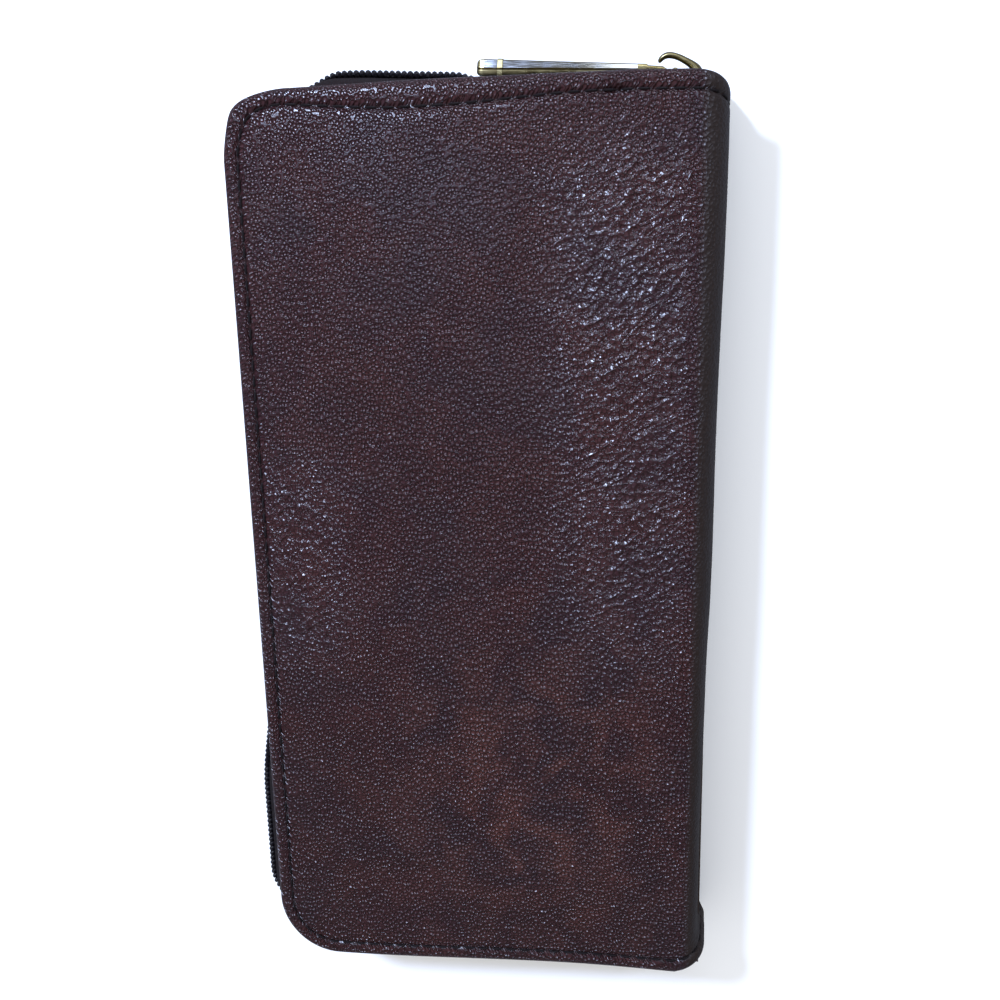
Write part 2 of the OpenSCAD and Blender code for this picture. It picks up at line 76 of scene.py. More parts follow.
def joint(name):
    return next(j for j in frame["joints"] if j["name"] == name)


# The wallet's own measures, in millimetres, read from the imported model
COVER_LOW, COVER_HIGH = span("front_leather")
TAPE_LOW, TAPE_HIGH = span("front_zip_tape")
EDGE_X = COVER_LOW[0]
END_Y = COVER_HIGH[1]
TOP_Z = COVER_HIGH[2]
MID_Z = TOP_Z / 2
PULLER_LENGTH = 39.0  # from its crossbar to its free end
GUSSET_MOUTH = 10.5  # fold depth of a gusset at its mouth
GUSSET_TAPER = 5.5  # how much shallower its fold is at the spine
SPINE_X = span("spine_leather")[1][0]
LINING_DEPTH = TOP_Z - span("front_lining")[1][2]
COVER_DEPTH = TOP_Z - span("front_lining")[0][2]
CORNER_R = 14.0
FOLD_ROUND = 6.5
FLAT_END = SPINE_X - FOLD_ROUND - EDGE_X
ROUND_END = FLAT_END + FOLD_ROUND * math.pi / 2
HIDE_END = ROUND_END + TOP_Z - FOLD_ROUND - MID_Z
SEAM_INSET = 3.25

# Zip run, from the slider's own line of travel and the tape's box
TRAVEL = np.array(joint("slider_travel")["axis"], float)
RISE = math.atan2(TRAVEL[1], -TRAVEL[0])
ZIP_R = CORNER_R + 1
ZIP_LEFT = TAPE_LOW[0]
ZIP_BOTTOM = TAPE_LOW[1]
ZIP_END_X = TAPE_HIGH[0]
ZIP_TOP_CY = TAPE_HIGH[1] - ZIP_R

# Distance from the edge, inset and depth of the leather from the hem's end, round the rim, to the flat
RIM = np.array([
    (-4.6, 4.4, 1.5), (-3.0, 2.6, 1.52), (-2.2, 1.5, 1.56), (-1.7, 0.9, 1.82), (-1.3, 0.5, 1.96),
    (-0.9, 0.16, 1.75), (-0.5, 0.0, 1.25), (0.0, 0.1, 0.72), (0.45, 0.42, 0.31), (0.9, 0.9, 0.08),
    (1.5, 1.5, 0.0), (2.2, 2.2, 0.03), (2.65, 2.65, 0.13), (2.95, 2.95, 0.34), (3.25, 3.25, 0.55),
    (3.55, 3.55, 0.34), (3.85, 3.85, 0.13), (4.3, 4.3, 0.03), (5.0, 5.0, 0.0),
])
RIM_END = 5.0


def ease(v):
    v = np.clip(v, 0.0, 1.0)
    return v * v * (3 - 2 * v)


def hill(v, start, top_start, top_end, end):
    """Rises smoothly from start to top_start, stays at 1 and falls from top_end to end."""
    return ease((v - start) / (top_start - start)) * ease((end - v) / (end - top_end))


def ripple(u, v, wave, seed, count=9):
    """Soft unevenness between -1 and 1, with a usual wave length, the same for the same seed."""
    draw = np.random.default_rng(seed)
    total = np.zeros(np.broadcast(u, v).shape)
    for _ in range(count):
        turn, phase = draw.uniform(0, 2 * math.pi, 2)
        length = wave * draw.uniform(0.6, 1.6)
        total += np.sin((u * math.cos(turn) + v * math.sin(turn)) * 2 * math.pi / length + phase)
    return total / (count * 0.55)


def settle(points):
    """The bottom ends sit a little higher towards the spine, and the top corner is a little squarer."""
    moved = np.array(points, float)
    x, y = moved[..., 0].copy(), moved[..., 1].copy()
    corner = np.exp(-(((x - EDGE_X - 4) / 5.5) ** 2 + ((y - END_Y + 3) / 5) ** 2))
    moved[..., 0] = x - 1.3 * corner
    y = y + 0.6 * corner
    lift = 0.2 + 3.5 * ease((x - EDGE_X - 6) / 76)
    moved[..., 1] = y + lift * ease((-58 - y) / (END_Y - 58))
    return moved


def to_side(points, side):
    """Turns points drawn for the front cover over for the back cover."""
    moved = np.array(points, float)
    if side == "back":
        moved[..., 2] = TOP_Z - moved[..., 2]
    return moved


# ---------------------------------------------------------------- mesh makers

def new_piece(name, points, faces, place=None, zones=None, flip=False, sharp=50):
    """A mesh object from points in millimetres. place is where each point lies on the uncut material."""
    points = np.asarray(points, float).reshape(-1, 3)
    faces = [tuple(int(i) for i in (reversed(f) if flip else f)) for f in faces]
    mesh = bpy.data.meshes.new(name)
    mesh.from_pydata((points * MM).tolist(), [], faces)
    laid = points if place is None else np.asarray(place, float).reshape(-1, 3)
    store = mesh.attributes.new("flat_place", "FLOAT_VECTOR", "POINT")
    store.data.foreach_set("vector", laid.astype(np.float32).ravel())
    for zone, values in (zones or {}).items():
        kept = mesh.attributes.new(zone, "FLOAT", "POINT")
        kept.data.foreach_set("value", np.asarray(values, np.float32).ravel())
    mesh.shade_smooth()
    mesh.set_sharp_from_angle(angle=math.radians(sharp))
    mesh.update()
    piece = bpy.data.objects.new(name, mesh)
    bpy.context.scene.collection.objects.link(piece)
    return piece


def grid_faces(rows, cols, first=0, closed_rows=False):
    """Quads of a grid whose points are numbered row by row from first."""
    faces = []
    for i in range(rows if closed_rows else rows - 1):
        a, b = first + i * cols, first + ((i + 1) % rows) * cols
        faces += [(a + j, b + j, b + j + 1, a + j + 1) for j in range(cols - 1)]
    return faces


def rim_faces(rows, cols, upper, lower):
    """Walls that join the borders of two grids of the same size."""
    ring = list(range(cols))
    ring += [i * cols + cols - 1 for i in range(1, rows)]
    ring += [(rows - 1) * cols + j for j in range(cols - 2, -1, -1)]
    ring += [i * cols for i in range(rows - 2, 0, -1)]
    pairs = zip(ring, ring[1:] + ring[:1])
    return [(upper + a, upper + b, lower + b, lower + a) for a, b in pairs]


def shell_between(outer, inner):
    """Points and faces of a closed shell between two grids of points."""
    rows, cols = outer.shape[:2]
    count = rows * cols
    points = np.concatenate([outer.reshape(-1, 3), inner.reshape(-1, 3)])
    faces = grid_faces(rows, cols)
    faces += [tuple(reversed(f)) for f in grid_faces(rows, cols, count)]
    faces += rim_faces(rows, cols, 0, count)
    return points, faces


def sheet_normals(grid):
    along = np.gradient(grid, axis=0)
    across = np.gradient(grid, axis=1)
    normal = np.cross(along, across)
    return normal / np.maximum(np.linalg.norm(normal, axis=2, keepdims=True), 1e-9)


def thick_sheet(grid, thickness):
    """Points, faces and flat places of a closed sheet of even thickness about a grid of points."""
    normal = sheet_normals(grid)
    outer = grid + normal * thickness / 2
    inner = grid - normal * thickness / 2
    points, faces = shell_between(outer, inner)
    steps = np.linalg.norm(np.diff(grid, axis=0), axis=2)
    u = np.concatenate([np.zeros((1, grid.shape[1])), np.cumsum(steps, axis=0)])
    steps = np.linalg.norm(np.diff(grid, axis=1), axis=2)
    v = np.concatenate([np.zeros((grid.shape[0], 1)), np.cumsum(steps, axis=1)], axis=1)
    flat = np.stack([u, v, np.zeros_like(u)], axis=2).reshape(-1, 3)
    return points, [tuple(reversed(f)) for f in faces], np.concatenate([flat, flat + [0, 0, 3]])


def join_parts(parts):
    """Several (points, faces, places) as one."""
    points, faces, places, count = [], [], [], 0
    for part_points, part_faces, part_places in parts:
        points.append(part_points)
        faces += [tuple(i + count for i in f) for f in part_faces]
        places.append(part_places)
        count += len(part_points)
    return np.concatenate(points), faces, np.concatenate(places)


def tube(centres, out, side, half_out, half_side, ring=8):
    """A closed rod along centres. out and side are unit vectors across it, with half sizes along each."""
    turn = np.linspace(0, 2 * math.pi, ring, endpoint=False)
    half_out = np.broadcast_to(np.asarray(half_out, float).reshape(-1, 1), (len(centres), 1))
    half_side = np.broadcast_to(np.asarray(half_side, float).reshape(-1, 1), (len(centres), 1))
    rim = (
        centres[:, None, :]
        + out[:, None, :] * (half_out * np.cos(turn))[:, :, None]
        + side[:, None, :] * (half_side * np.sin(turn))[:, :, None]
    )
    points = rim.reshape(-1, 3)
    faces = []
    for i in range(len(centres) - 1):
        a, b = i * ring, (i + 1) * ring
        for j in range(ring):
            k = (j + 1) % ring
            faces.append((a + j, a + k, b + k, b + j))
    faces.append(tuple(range(ring - 1, -1, -1)))
    last = (len(centres) - 1) * ring
    faces.append(tuple(last + j for j in range(ring)))
    return points, faces, points


def unit(v):
    return v / np.maximum(np.linalg.norm(v, axis=-1, keepdims=True), 1e-9)


def along_path(path, *others, step):
    """The path and other rows of vectors, sampled again at an even step."""
    far = np.concatenate([[0], np.cumsum(np.linalg.norm(np.diff(path, axis=0), axis=1))])
    at = np.linspace(0, far[-1], max(2, int(round(far[-1] / step)) + 1))
    sampled = [
        np.stack([np.interp(at, far, rows[:, k]) for k in range(3)], axis=1) for rows in (path, *others)
    ]
    return [at, sampled[0]] + [unit(rows) for rows in sampled[1:]]


def coil_wire(path, out, up, half_width, half_thick, pitch, wire, shift):
    """A flattened spiral of wire along path: half_width reaches along up and half_thick along out."""
    at, centre, out, up = along_path(path, out, up, step=pitch / 14)
    angle = 2 * math.pi * (at / pitch + shift)
    cos, sin = np.cos(angle)[:, None], np.sin(angle)[:, None]
    radial = unit(up * cos * half_thick + out * sin * half_width)
    line = centre + up * cos * half_width + out * sin * half_thick
    forward = unit(np.gradient(line, axis=0))
    radial = unit(radial - forward * np.sum(radial * forward, axis=1, keepdims=True))
    return tube(line, radial, np.cross(forward, radial), wire, wire, ring=7)


def stitch_row(line, normal, pitch, length, width, sink):
    """Separate thread stitches along a line: each rises from the leather, lies on it and dips again."""
    at, centre, out = along_path(line, normal, step=0.3)
    parts = []
    share = np.linspace(-0.5, 0.5, 7)
    rise = -sink * (2 * np.abs(share)) ** 4
    swell = width / 2 * (1 - 0.35 * (2 * np.abs(share)) ** 3)
    for middle in np.arange(pitch / 2, at[-1] - pitch / 2, pitch):
        where = middle + share * length
        points = np.stack([np.interp(where, at, centre[:, k]) for k in range(3)], axis=1)
        away = unit(np.stack([np.interp(where, at, out[:, k]) for k in range(3)], axis=1))
        points = points + away * rise[:, None]
        forward = unit(np.gradient(points, axis=0))
        away = unit(away - forward * np.sum(away * forward, axis=1, keepdims=True))
        parts.append(tube(points, away, np.cross(forward, away), swell, swell, ring=6))
    return parts


def bevelled(node, name, width, segments=2):
    """A new piece in the shape of a CAD node, with its edges rounded."""
    bm = bmesh.new()
    bm.from_mesh(frame["nodes"][node].data)
    bmesh.ops.remove_doubles(bm, verts=bm.verts, dist=1e-6)
    bmesh.ops.dissolve_limit(bm, angle_limit=math.radians(2), verts=bm.verts, edges=bm.edges)
    corners = [e for e in bm.edges if len(e.link_faces) == 2 and e.calc_face_angle(0) > math.radians(28)]
    bmesh.ops.bevel(
        bm, geom=corners, offset=width * MM, segments=segments, profile=0.6,
        affect="EDGES", clamp_overlap=True, material=-1,
    )
    bmesh.ops.remove_doubles(bm, verts=bm.verts, dist=1e-6)
    mesh = bpy.data.meshes.new(name)
    bm.to_mesh(mesh)
    bm.free()
    laid = np.array([v.co for v in mesh.vertices], float) / MM
    store = mesh.attributes.new("flat_place", "FLOAT_VECTOR", "POINT")
    store.data.foreach_set("vector", laid.astype(np.float32).ravel())
    mesh.shade_smooth()
    mesh.set_sharp_from_angle(angle=math.radians(38))
    piece = bpy.data.objects.new(name, mesh)
    bpy.context.scene.collection.objects.link(piece)
    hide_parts(node)
    return piece


# ---------------------------------------------------------------- node helpers

def put(tree, kind, inputs=None, **settings):
    """Adds a node, with its inputs as values or as sockets to link from."""
    made = tree.nodes.new(kind)
    for key, value in settings.items():
        setattr(made, key, value)
    for key, value in (inputs or {}).items():
        if isinstance(value, bpy.types.NodeSocket):
            tree.links.new(value, made.inputs[key])
        else:
            made.inputs[key].default_value = value
    return made


def sums(tree, operation, a, b=0.5, clamp=False):
    return put(tree, "ShaderNodeMath", {0: a, 1: b}, operation=operation, use_clamp=clamp).outputs[0]


def remap(tree, value, low, high, to_low=0.0, to_high=1.0):
    inputs = {0: value, 1: low, 2: high, 3: to_low, 4: to_high}
    return put(tree, "ShaderNodeMapRange", inputs, interpolation_type="SMOOTHSTEP").outputs[0]


def mixed(tree, share, a, b):
    return put(tree, "ShaderNodeMix", {0: share, 6: a, 7: b}, data_type="RGBA").outputs[2]


def scaled(tree, vector, scale):
    return put(tree, "ShaderNodeVectorMath", {0: vector, 3: scale}, operation="SCALE").outputs[0]


def new_group(name, inputs, outputs):
    tree = bpy.data.node_groups.new(name, "ShaderNodeTree")
    for label, kind, default in inputs:
        socket = tree.interface.new_socket(name=label, in_out="INPUT", socket_type=kind)
        if default is not None:
            socket.default_value = default
    for label in outputs:
        tree.interface.new_socket(name=label, in_out="OUTPUT", socket_type="NodeSocketFloat")
    return tree, tree.nodes.new("NodeGroupInput").outputs, tree.nodes.new("NodeGroupOutput").inputs


def shared_group(name):
    """The node group of that name, built once."""
    if name not in bpy.data.node_groups:
        GROUPS[name](name)
    return bpy.data.node_groups[name]


def use(tree, name, inputs):
    made = tree.nodes.new("ShaderNodeGroup")
    made.node_tree = shared_group(name)
    for key, value in inputs.items():
        if isinstance(value, bpy.types.NodeSocket):
            tree.links.new(value, made.inputs[key])
        else:
            made.inputs[key].default_value = value
    return made.outputs


def pebble_group(name):
    """Rounded pebbles of unlike sizes, with fine pores on them."""
    tree, given, out = new_group(
        name,
        [("Place", "NodeSocketVector", None), ("Cell", "NodeSocketFloat", 0.8), ("Bend", "NodeSocketFloat", 0.35)],
        ["Height", "Valley"],
    )
    scale = sums(tree, "DIVIDE", 1.0, given["Cell"])
    laid = scaled(tree, given["Place"], scale)
    drift = put(tree, "ShaderNodeTexNoise", {"Vector": laid, "Scale": 0.45, "Detail": 2.0})
    drifted = put(tree, "ShaderNodeVectorMath", {0: drift.outputs["Color"], 1: (0.5, 0.5, 0.5)}, operation="SUBTRACT")
    pushed = scaled(tree, drifted.outputs[0], sums(tree, "MULTIPLY", given["Bend"], 4.0))
    bent = put(tree, "ShaderNodeVectorMath", {0: laid, 1: pushed}, operation="ADD").outputs[0]
    cells = put(
        tree, "ShaderNodeTexVoronoi", {"Vector": bent, "Scale": 1.0, "Randomness": 1.0},
        feature="DISTANCE_TO_EDGE", voronoi_dimensions="2D",
    ).outputs["Distance"]
    middle = put(
        tree, "ShaderNodeTexVoronoi", {"Vector": bent, "Scale": 1.0, "Randomness": 1.0},
        feature="F1", voronoi_dimensions="2D",
    ).outputs["Distance"]
    pores = put(tree, "ShaderNodeTexNoise", {"Vector": laid, "Scale": 3.2, "Detail": 3.0}).outputs["Fac"]
    away = remap(tree, middle, 0.0, 0.72)
    round_tops = sums(tree, "SUBTRACT", 1.0, sums(tree, "MULTIPLY", away, away))
    gaps = remap(tree, cells, 0.0, 0.12, 0.25, 1.0)
    domes = sums(tree, "MULTIPLY", round_tops, gaps)
    height = sums(tree, "ADD", sums(tree, "MULTIPLY", domes, 0.92), sums(tree, "MULTIPLY", pores, 0.08))
    tree.links.new(height, out["Height"])
    tree.links.new(remap(tree, cells, 0.17, 0.02), out["Valley"])


def crease_group(name):
    """Long soft creases that run one way, turned by Turn and as far apart as Spacing."""
    tree, given, out = new_group(
        name,
        [("Place", "NodeSocketVector", None), ("Spacing", "NodeSocketFloat", 3.0), ("Turn", "NodeSocketFloat", 0.6)],
        ["Height"],
    )
    laid = scaled(tree, given["Place"], sums(tree, "DIVIDE", 1.0, given["Spacing"]))
    turned = put(
        tree, "ShaderNodeVectorRotate", {"Vector": laid, "Angle": given["Turn"]}, rotation_type="Z_AXIS"
    ).outputs[0]
    pulled = put(tree, "ShaderNodeVectorMath", {0: turned, 1: (0.38, 1.0, 1.0)}, operation="MULTIPLY").outputs[0]
    drift = put(tree, "ShaderNodeTexNoise", {"Vector": pulled, "Scale": 0.7, "Detail": 2.0})
    centred = put(tree, "ShaderNodeVectorMath", {0: drift.outputs["Color"], 1: (0.5, 0.5, 0.5)}, operation="SUBTRACT")
    bent = put(
        tree, "ShaderNodeVectorMath", {0: pulled, 1: scaled(tree, centred.outputs[0], 2.2)}, operation="ADD"
    ).outputs[0]
    folds = put(
        tree, "ShaderNodeTexVoronoi", {"Vector": bent, "Scale": 1.0, "Randomness": 1.0},
        feature="DISTANCE_TO_EDGE", voronoi_dimensions="2D",
    ).outputs["Distance"]
    tree.links.new(remap(tree, folds, 0.0, 0.3), out["Height"])


def wear_group(name):
    """Rubbed corners and edges, broken up so that they don't look painted on."""
    tree, given, out = new_group(
        name,
        [("Place", "NodeSocketVector", None), ("Reach", "NodeSocketFloat", 0.06), ("Break", "NodeSocketFloat", 0.5)],
        ["Mask"],
    )
    corner = put(tree, "ShaderNodeNewGeometry").outputs["Pointiness"]
    edge = remap(tree, corner, 0.5, sums(tree, "ADD", given["Reach"], 0.5))
    spots = put(tree, "ShaderNodeTexNoise", {"Vector": given["Place"], "Scale": 1.7, "Detail": 4.0}).outputs["Fac"]
    patchy = remap(tree, spots, 0.3, 0.7)
    kept = sums(tree, "SUBTRACT", 1.0, sums(tree, "MULTIPLY", given["Break"], patchy))
    tree.links.new(sums(tree, "MULTIPLY", edge, kept, clamp=True), out["Mask"])


def weave_group(name):
    """Plain weave: threads over and under, with slack and fuzz. Its Thread shade output is painted shade, darker
    between the threads.
    """
    tree, given, out = new_group(
        name,
        [("Place", "NodeSocketVector", None), ("Thread", "NodeSocketFloat", 0.4), ("Fuzz", "NodeSocketFloat", 0.3)],
        ["Height", "Thread shade"],
    )
    laid = scaled(tree, given["Place"], sums(tree, "DIVIDE", math.pi, given["Thread"]))
    parts = put(tree, "ShaderNodeSeparateXYZ", {0: laid})
    warp = sums(tree, "ABSOLUTE", sums(tree, "SINE", parts.outputs[0]))
    weft = sums(tree, "ABSOLUTE", sums(tree, "SINE", parts.outputs[1]))
    half = scaled(tree, laid, 0.5)
    halves = put(tree, "ShaderNodeSeparateXYZ", {0: half})
    over = sums(
        tree, "MULTIPLY", sums(tree, "SINE", halves.outputs[0]), sums(tree, "SINE", halves.outputs[1])
    )
    pick = remap(tree, over, -0.15, 0.15)
    woven = put(tree, "ShaderNodeMix", {0: pick, 2: warp, 3: weft}, data_type="FLOAT").outputs[0]
    fuzz = put(tree, "ShaderNodeTexNoise", {"Vector": given["Place"], "Scale": 5.0, "Detail": 4.0}).outputs["Fac"]
    fuzzy = sums(tree, "MULTIPLY", fuzz, given["Fuzz"])
    tree.links.new(sums(tree, "ADD", woven, fuzzy), out["Height"])
    tree.links.new(remap(tree, sums(tree, "ADD", woven, fuzzy), 0.0, 1.2), out["Thread shade"])


def marks_group(name):
    """Large soft patches from handling, for tone and gloss that drift over the surface."""
    tree, given, out = new_group(
        name,
        [("Place", "NodeSocketVector", None), ("Size", "NodeSocketFloat", 20.0)],
        ["Patches", "Specks"],
    )
    laid = scaled(tree, given["Place"], sums(tree, "DIVIDE", 1.0, given["Size"]))
    patches = put(tree, "ShaderNodeTexNoise", {"Vector": laid, "Scale": 1.0, "Detail": 4.0, "Distortion": 0.6})
    specks = put(tree, "ShaderNodeTexNoise", {"Vector": laid, "Scale": 11.0, "Detail": 5.0})
    tree.links.new(remap(tree, patches.outputs["Fac"], 0.36, 0.66), out["Patches"])
    tree.links.new(remap(tree, specks.outputs["Fac"], 0.56, 0.72), out["Specks"])


GROUPS = {
    "Pebble grain": pebble_group,
    "Soft creases": crease_group,
    "Edge wear": wear_group,
    "Weave": weave_group,
    "Handling marks": marks_group,
}


def new_finish(name):
    """A material with a Principled BSDF, and the place on the material that every pattern reads."""
    material = bpy.data.materials.new(f"{name}_finish")
    material.use_nodes = True
    tree = material.node_tree
    shader = tree.nodes["Principled BSDF"]
    place = put(tree, "ShaderNodeAttribute", attribute_name="flat_place").outputs["Vector"]
    return material, tree, shader, place


def zone(tree, name):
    return put(tree, "ShaderNodeAttribute", attribute_name=name).outputs["Fac"]


def raise_surface(tree, shader, height, reach, strength=1.0):
    """Lets height, from 0 to 1, stand out of the surface by reach millimetres."""
    bump = put(tree, "ShaderNodeBump", {"Height": height, "Distance": reach * MM, "Strength": strength})
    tree.links.new(bump.outputs[0], shader.inputs["Normal"])


def cover_leather_finish(look, sizes):
    material, tree, shader, place = new_finish("cover_leather")
    cell = sizes.grain_size / MM
    fine = use(tree, "Pebble grain", {"Place": place, "Cell": cell, "Bend": 0.2})
    large = use(tree, "Pebble grain", {"Place": place, "Cell": cell * 1.9, "Bend": 0.25})
    fan = use(tree, "Soft creases", {"Place": place, "Spacing": 2.8, "Turn": -0.6})
    drift = use(tree, "Handling marks", {"Place": place, "Size": 26.0})
    cloud = use(tree, "Handling marks", {"Place": place, "Size": 9.0})
    crease, rubbed, spine = zone(tree, "crease_zone"), zone(tree, "rubbed_zone"), zone(tree, "spine_zone")

    fine_height = sums(
        tree, "MULTIPLY", fine["Height"], sums(tree, "SUBTRACT", 1.0, sums(tree, "MULTIPLY", crease, 0.6))
    )
    wide_height = sums(tree, "MULTIPLY", large["Height"], crease)
    fan_height = sums(tree, "MULTIPLY", fan["Height"], sums(tree, "MULTIPLY", crease, 0.7))
    height = sums(tree, "ADD", sums(tree, "ADD", fine_height, wide_height), fan_height)
    height = sums(tree, "MULTIPLY", height, sums(tree, "SUBTRACT", 1.0, sums(tree, "MULTIPLY", crease, 0.3)))
    calm = sums(tree, "SUBTRACT", 1.0, sums(tree, "MULTIPLY", spine, 0.75))
    seam_shade = zone(tree, "seam_shade_zone")
    raise_surface(tree, shader, sums(tree, "MULTIPLY", height, calm), 0.38)

    base = mixed(tree, sums(tree, "MULTIPLY", drift["Patches"], 0.5), look.oxblood, look.plum)
    warm = sums(tree, "MULTIPLY", rubbed, cloud["Patches"], clamp=True)
    base = mixed(tree, sums(tree, "MULTIPLY", warm, 0.85), base, look.chestnut)
    # painted shade: the fold and spine are painted darker and browner because they turn away from the light; their
    # smoother grain is real
    base = mixed(tree, spine, base, look.spine_shade)
    wear = use(tree, "Edge wear", {"Place": place, "Reach": 0.05, "Break": 0.6})
    base = mixed(tree, sums(tree, "MULTIPLY", wear["Mask"], 0.35), base, look.chestnut)
    base = mixed(
        tree, sums(tree, "MULTIPLY", fine["Valley"], sums(tree, "MULTIPLY", calm, 0.8)), base, look.grain_shadow
    )
    # painted shade in the stitch groove and in the slit of the top seam
    base = mixed(tree, sums(tree, "MULTIPLY", seam_shade, 0.9), base, look.grain_shadow)
    tree.links.new(base, shader.inputs["Base Color"])
    gloss = sums(tree, "ADD", sums(tree, "MULTIPLY", drift["Patches"], 0.06), 0.24)
    tree.links.new(sums(tree, "ADD", gloss, sums(tree, "MULTIPLY", spine, 0.22)), shader.inputs["Roughness"])
    shader.inputs["Specular IOR Level"].default_value = 0.5
    return material


def inner_leather_finish(look, sizes):
    material, tree, shader, place = new_finish("inner_leather")
    fine = use(tree, "Pebble grain", {"Place": place, "Cell": sizes.grain_size / MM * 0.8, "Bend": 0.3})
    drift = use(tree, "Handling marks", {"Place": place, "Size": 18.0})
    wear = use(tree, "Edge wear", {"Place": place, "Reach": 0.05, "Break": 0.5})
    base = mixed(tree, sums(tree, "MULTIPLY", drift["Patches"], 0.6), look.inner_leather, look.chestnut)
    base = mixed(tree, sums(tree, "MULTIPLY", wear["Mask"], 0.5), base, look.worn_edge)
    base = mixed(tree, sums(tree, "MULTIPLY", fine["Valley"], 0.5), base, look.grain_shadow)
    tree.links.new(base, shader.inputs["Base Color"])
    tree.links.new(
        sums(tree, "ADD", sums(tree, "MULTIPLY", drift["Patches"], 0.12), 0.42), shader.inputs["Roughness"]
    )
    raise_surface(tree, shader, fine["Height"], 0.06)
    return material


def woven_finish(name, colour, dark, thread, reach, roughness, sheen=0.0, shine=0.3):
    """Cloth of one thread size, with painted shade between the threads."""
    material, tree, shader, place = new_finish(name)
    cloth = use(tree, "Weave", {"Place": place, "Thread": thread, "Fuzz": 0.35})
    drift = use(tree, "Handling marks", {"Place": place, "Size": 15.0})
    # painted shade: the cloth goes from colour on the threads to dark between them
    base = mixed(tree, cloth["Thread shade"], dark, colour)
    base = mixed(tree, sums(tree, "MULTIPLY", drift["Specks"], 0.25), base, dark)
    tree.links.new(base, shader.inputs["Base Color"])
    tree.links.new(
        sums(tree, "ADD", sums(tree, "MULTIPLY", drift["Patches"], 0.1), roughness), shader.inputs["Roughness"]
    )
    shader.inputs["Sheen Weight"].default_value = sheen
    shader.inputs["Specular IOR Level"].default_value = shine
    raise_surface(tree, shader, cloth["Height"], reach)
    return material


def thread_finish(look, sizes):
    material, tree, shader, place = new_finish("thread")
    ply = put(
        tree, "ShaderNodeTexWave", {"Vector": place, "Scale": 2.6, "Distortion": 1.2, "Detail": 1.0},
        bands_direction="DIAGONAL",
    ).outputs["Fac"]
    drift = use(tree, "Handling marks", {"Place": place, "Size": 10.0})
    base = mixed(tree, ply, look.grain_shadow, look.thread)
    tree.links.new(base, shader.inputs["Base Color"])
    tree.links.new(
        sums(tree, "ADD", sums(tree, "MULTIPLY", drift["Patches"], 0.15), 0.5), shader.inputs["Roughness"]
    )
    shader.inputs["Specular IOR Level"].default_value = 0.2
    raise_surface(tree, shader, ply, 0.05)
    return material


def coil_finish(look, sizes):
    material, tree, shader, place = new_finish("zip_coil")
    drift = use(tree, "Handling marks", {"Place": place, "Size": 8.0})
    scuffs = put(tree, "ShaderNodeTexNoise", {"Vector": place, "Scale": 3.0, "Detail": 4.0}).outputs["Fac"]
    base = mixed(tree, sums(tree, "MULTIPLY", drift["Specks"], 0.5), look.coil, look.coil_dust)
    tree.links.new(base, shader.inputs["Base Color"])
    tree.links.new(remap(tree, scuffs, 0.3, 0.75, 0.14, 0.3), shader.inputs["Roughness"])
    raise_surface(tree, shader, scuffs, 0.02)
    return material


def brass_finish(look, sizes):
    """Antique brass: bright where hands rub it, with brown patches of patina."""
    material, tree, shader, place = new_finish("antique_brass")
    wear = use(tree, "Edge wear", {"Place": place, "Reach": 0.07, "Break": 0.35})
    drift = use(tree, "Handling marks", {"Place": place, "Size": 5.0})
    scratch = put(
        tree, "ShaderNodeTexNoise",
        {"Vector": put(
            tree, "ShaderNodeVectorMath", {0: place, 1: (0.25, 3.0, 3.0)}, operation="MULTIPLY"
        ).outputs[0],
         "Scale": 2.4, "Detail": 5.0},
    ).outputs["Fac"]
    base = mixed(tree, drift["Patches"], look.brass, look.brass_dark)
    base = mixed(tree, sums(tree, "MULTIPLY", wear["Mask"], 0.8), base, look.brass_bright)
    tree.links.new(base, shader.inputs["Base Color"])
    shader.inputs["Metallic"].default_value = 1.0
    dull = sums(tree, "MULTIPLY", drift["Patches"], 0.16)
    tree.links.new(
        sums(tree, "ADD", remap(tree, scratch, 0.35, 0.7, 0.2, 0.34), dull), shader.inputs["Roughness"]
    )
    raise_surface(tree, shader, scratch, 0.012)
    return material


def polished_facet_reflection_finish(look, sizes):
    """The polished facet of the puller: its polish is real, and its colour, paler and bluer than the brass body, is a
    painted reflection of the cool light.
    """
    material, tree, shader, place = new_finish("polished_facet_painted_reflection")
    drift = use(tree, "Handling marks", {"Place": place, "Size": 6.0})
    lines = put(
        tree, "ShaderNodeTexNoise",
        {"Vector": put(
            tree, "ShaderNodeVectorMath", {0: place, 1: (0.2, 4.0, 4.0)}, operation="MULTIPLY"
        ).outputs[0],
         "Scale": 2.0, "Detail": 4.0},
    ).outputs["Fac"]
    base = mixed(tree, sums(tree, "MULTIPLY", drift["Patches"], 0.4), look.facet, look.brass_bright)
    tree.links.new(base, shader.inputs["Base Color"])
    shader.inputs["Metallic"].default_value = 1.0
    tree.links.new(remap(tree, lines, 0.3, 0.7, 0.1, 0.24), shader.inputs["Roughness"])
    raise_surface(tree, shader, lines, 0.006)
    return material


def floor_finish(look, sizes):
    material, tree, shader, _ = new_finish("pale_floor")
    where = put(tree, "ShaderNodeTexCoord").outputs["Object"]
    soft = put(tree, "ShaderNodeTexNoise", {"Vector": where, "Scale": 2.0, "Detail": 2.0}).outputs["Fac"]
    darker = (look.floor[0] * 0.985, look.floor[1] * 0.985, look.floor[2] * 0.985, 1.0)
    mirrored = put(tree, "ShaderNodeLightPath").outputs["Is Glossy Ray"]
    pale = mixed(tree, soft, look.floor, darker)
    tree.links.new(mixed(tree, mirrored, pale, look.floor_mirrored), shader.inputs["Base Color"])
    shader.inputs["Roughness"].default_value = 0.9
    shader.inputs["Specular IOR Level"].default_value = 0.1
    return material


def lining_finish(look, sizes):
    return woven_finish("lining", look.lining, look.grain_shadow, 0.34, 0.05, 0.62, sheen=0.15)


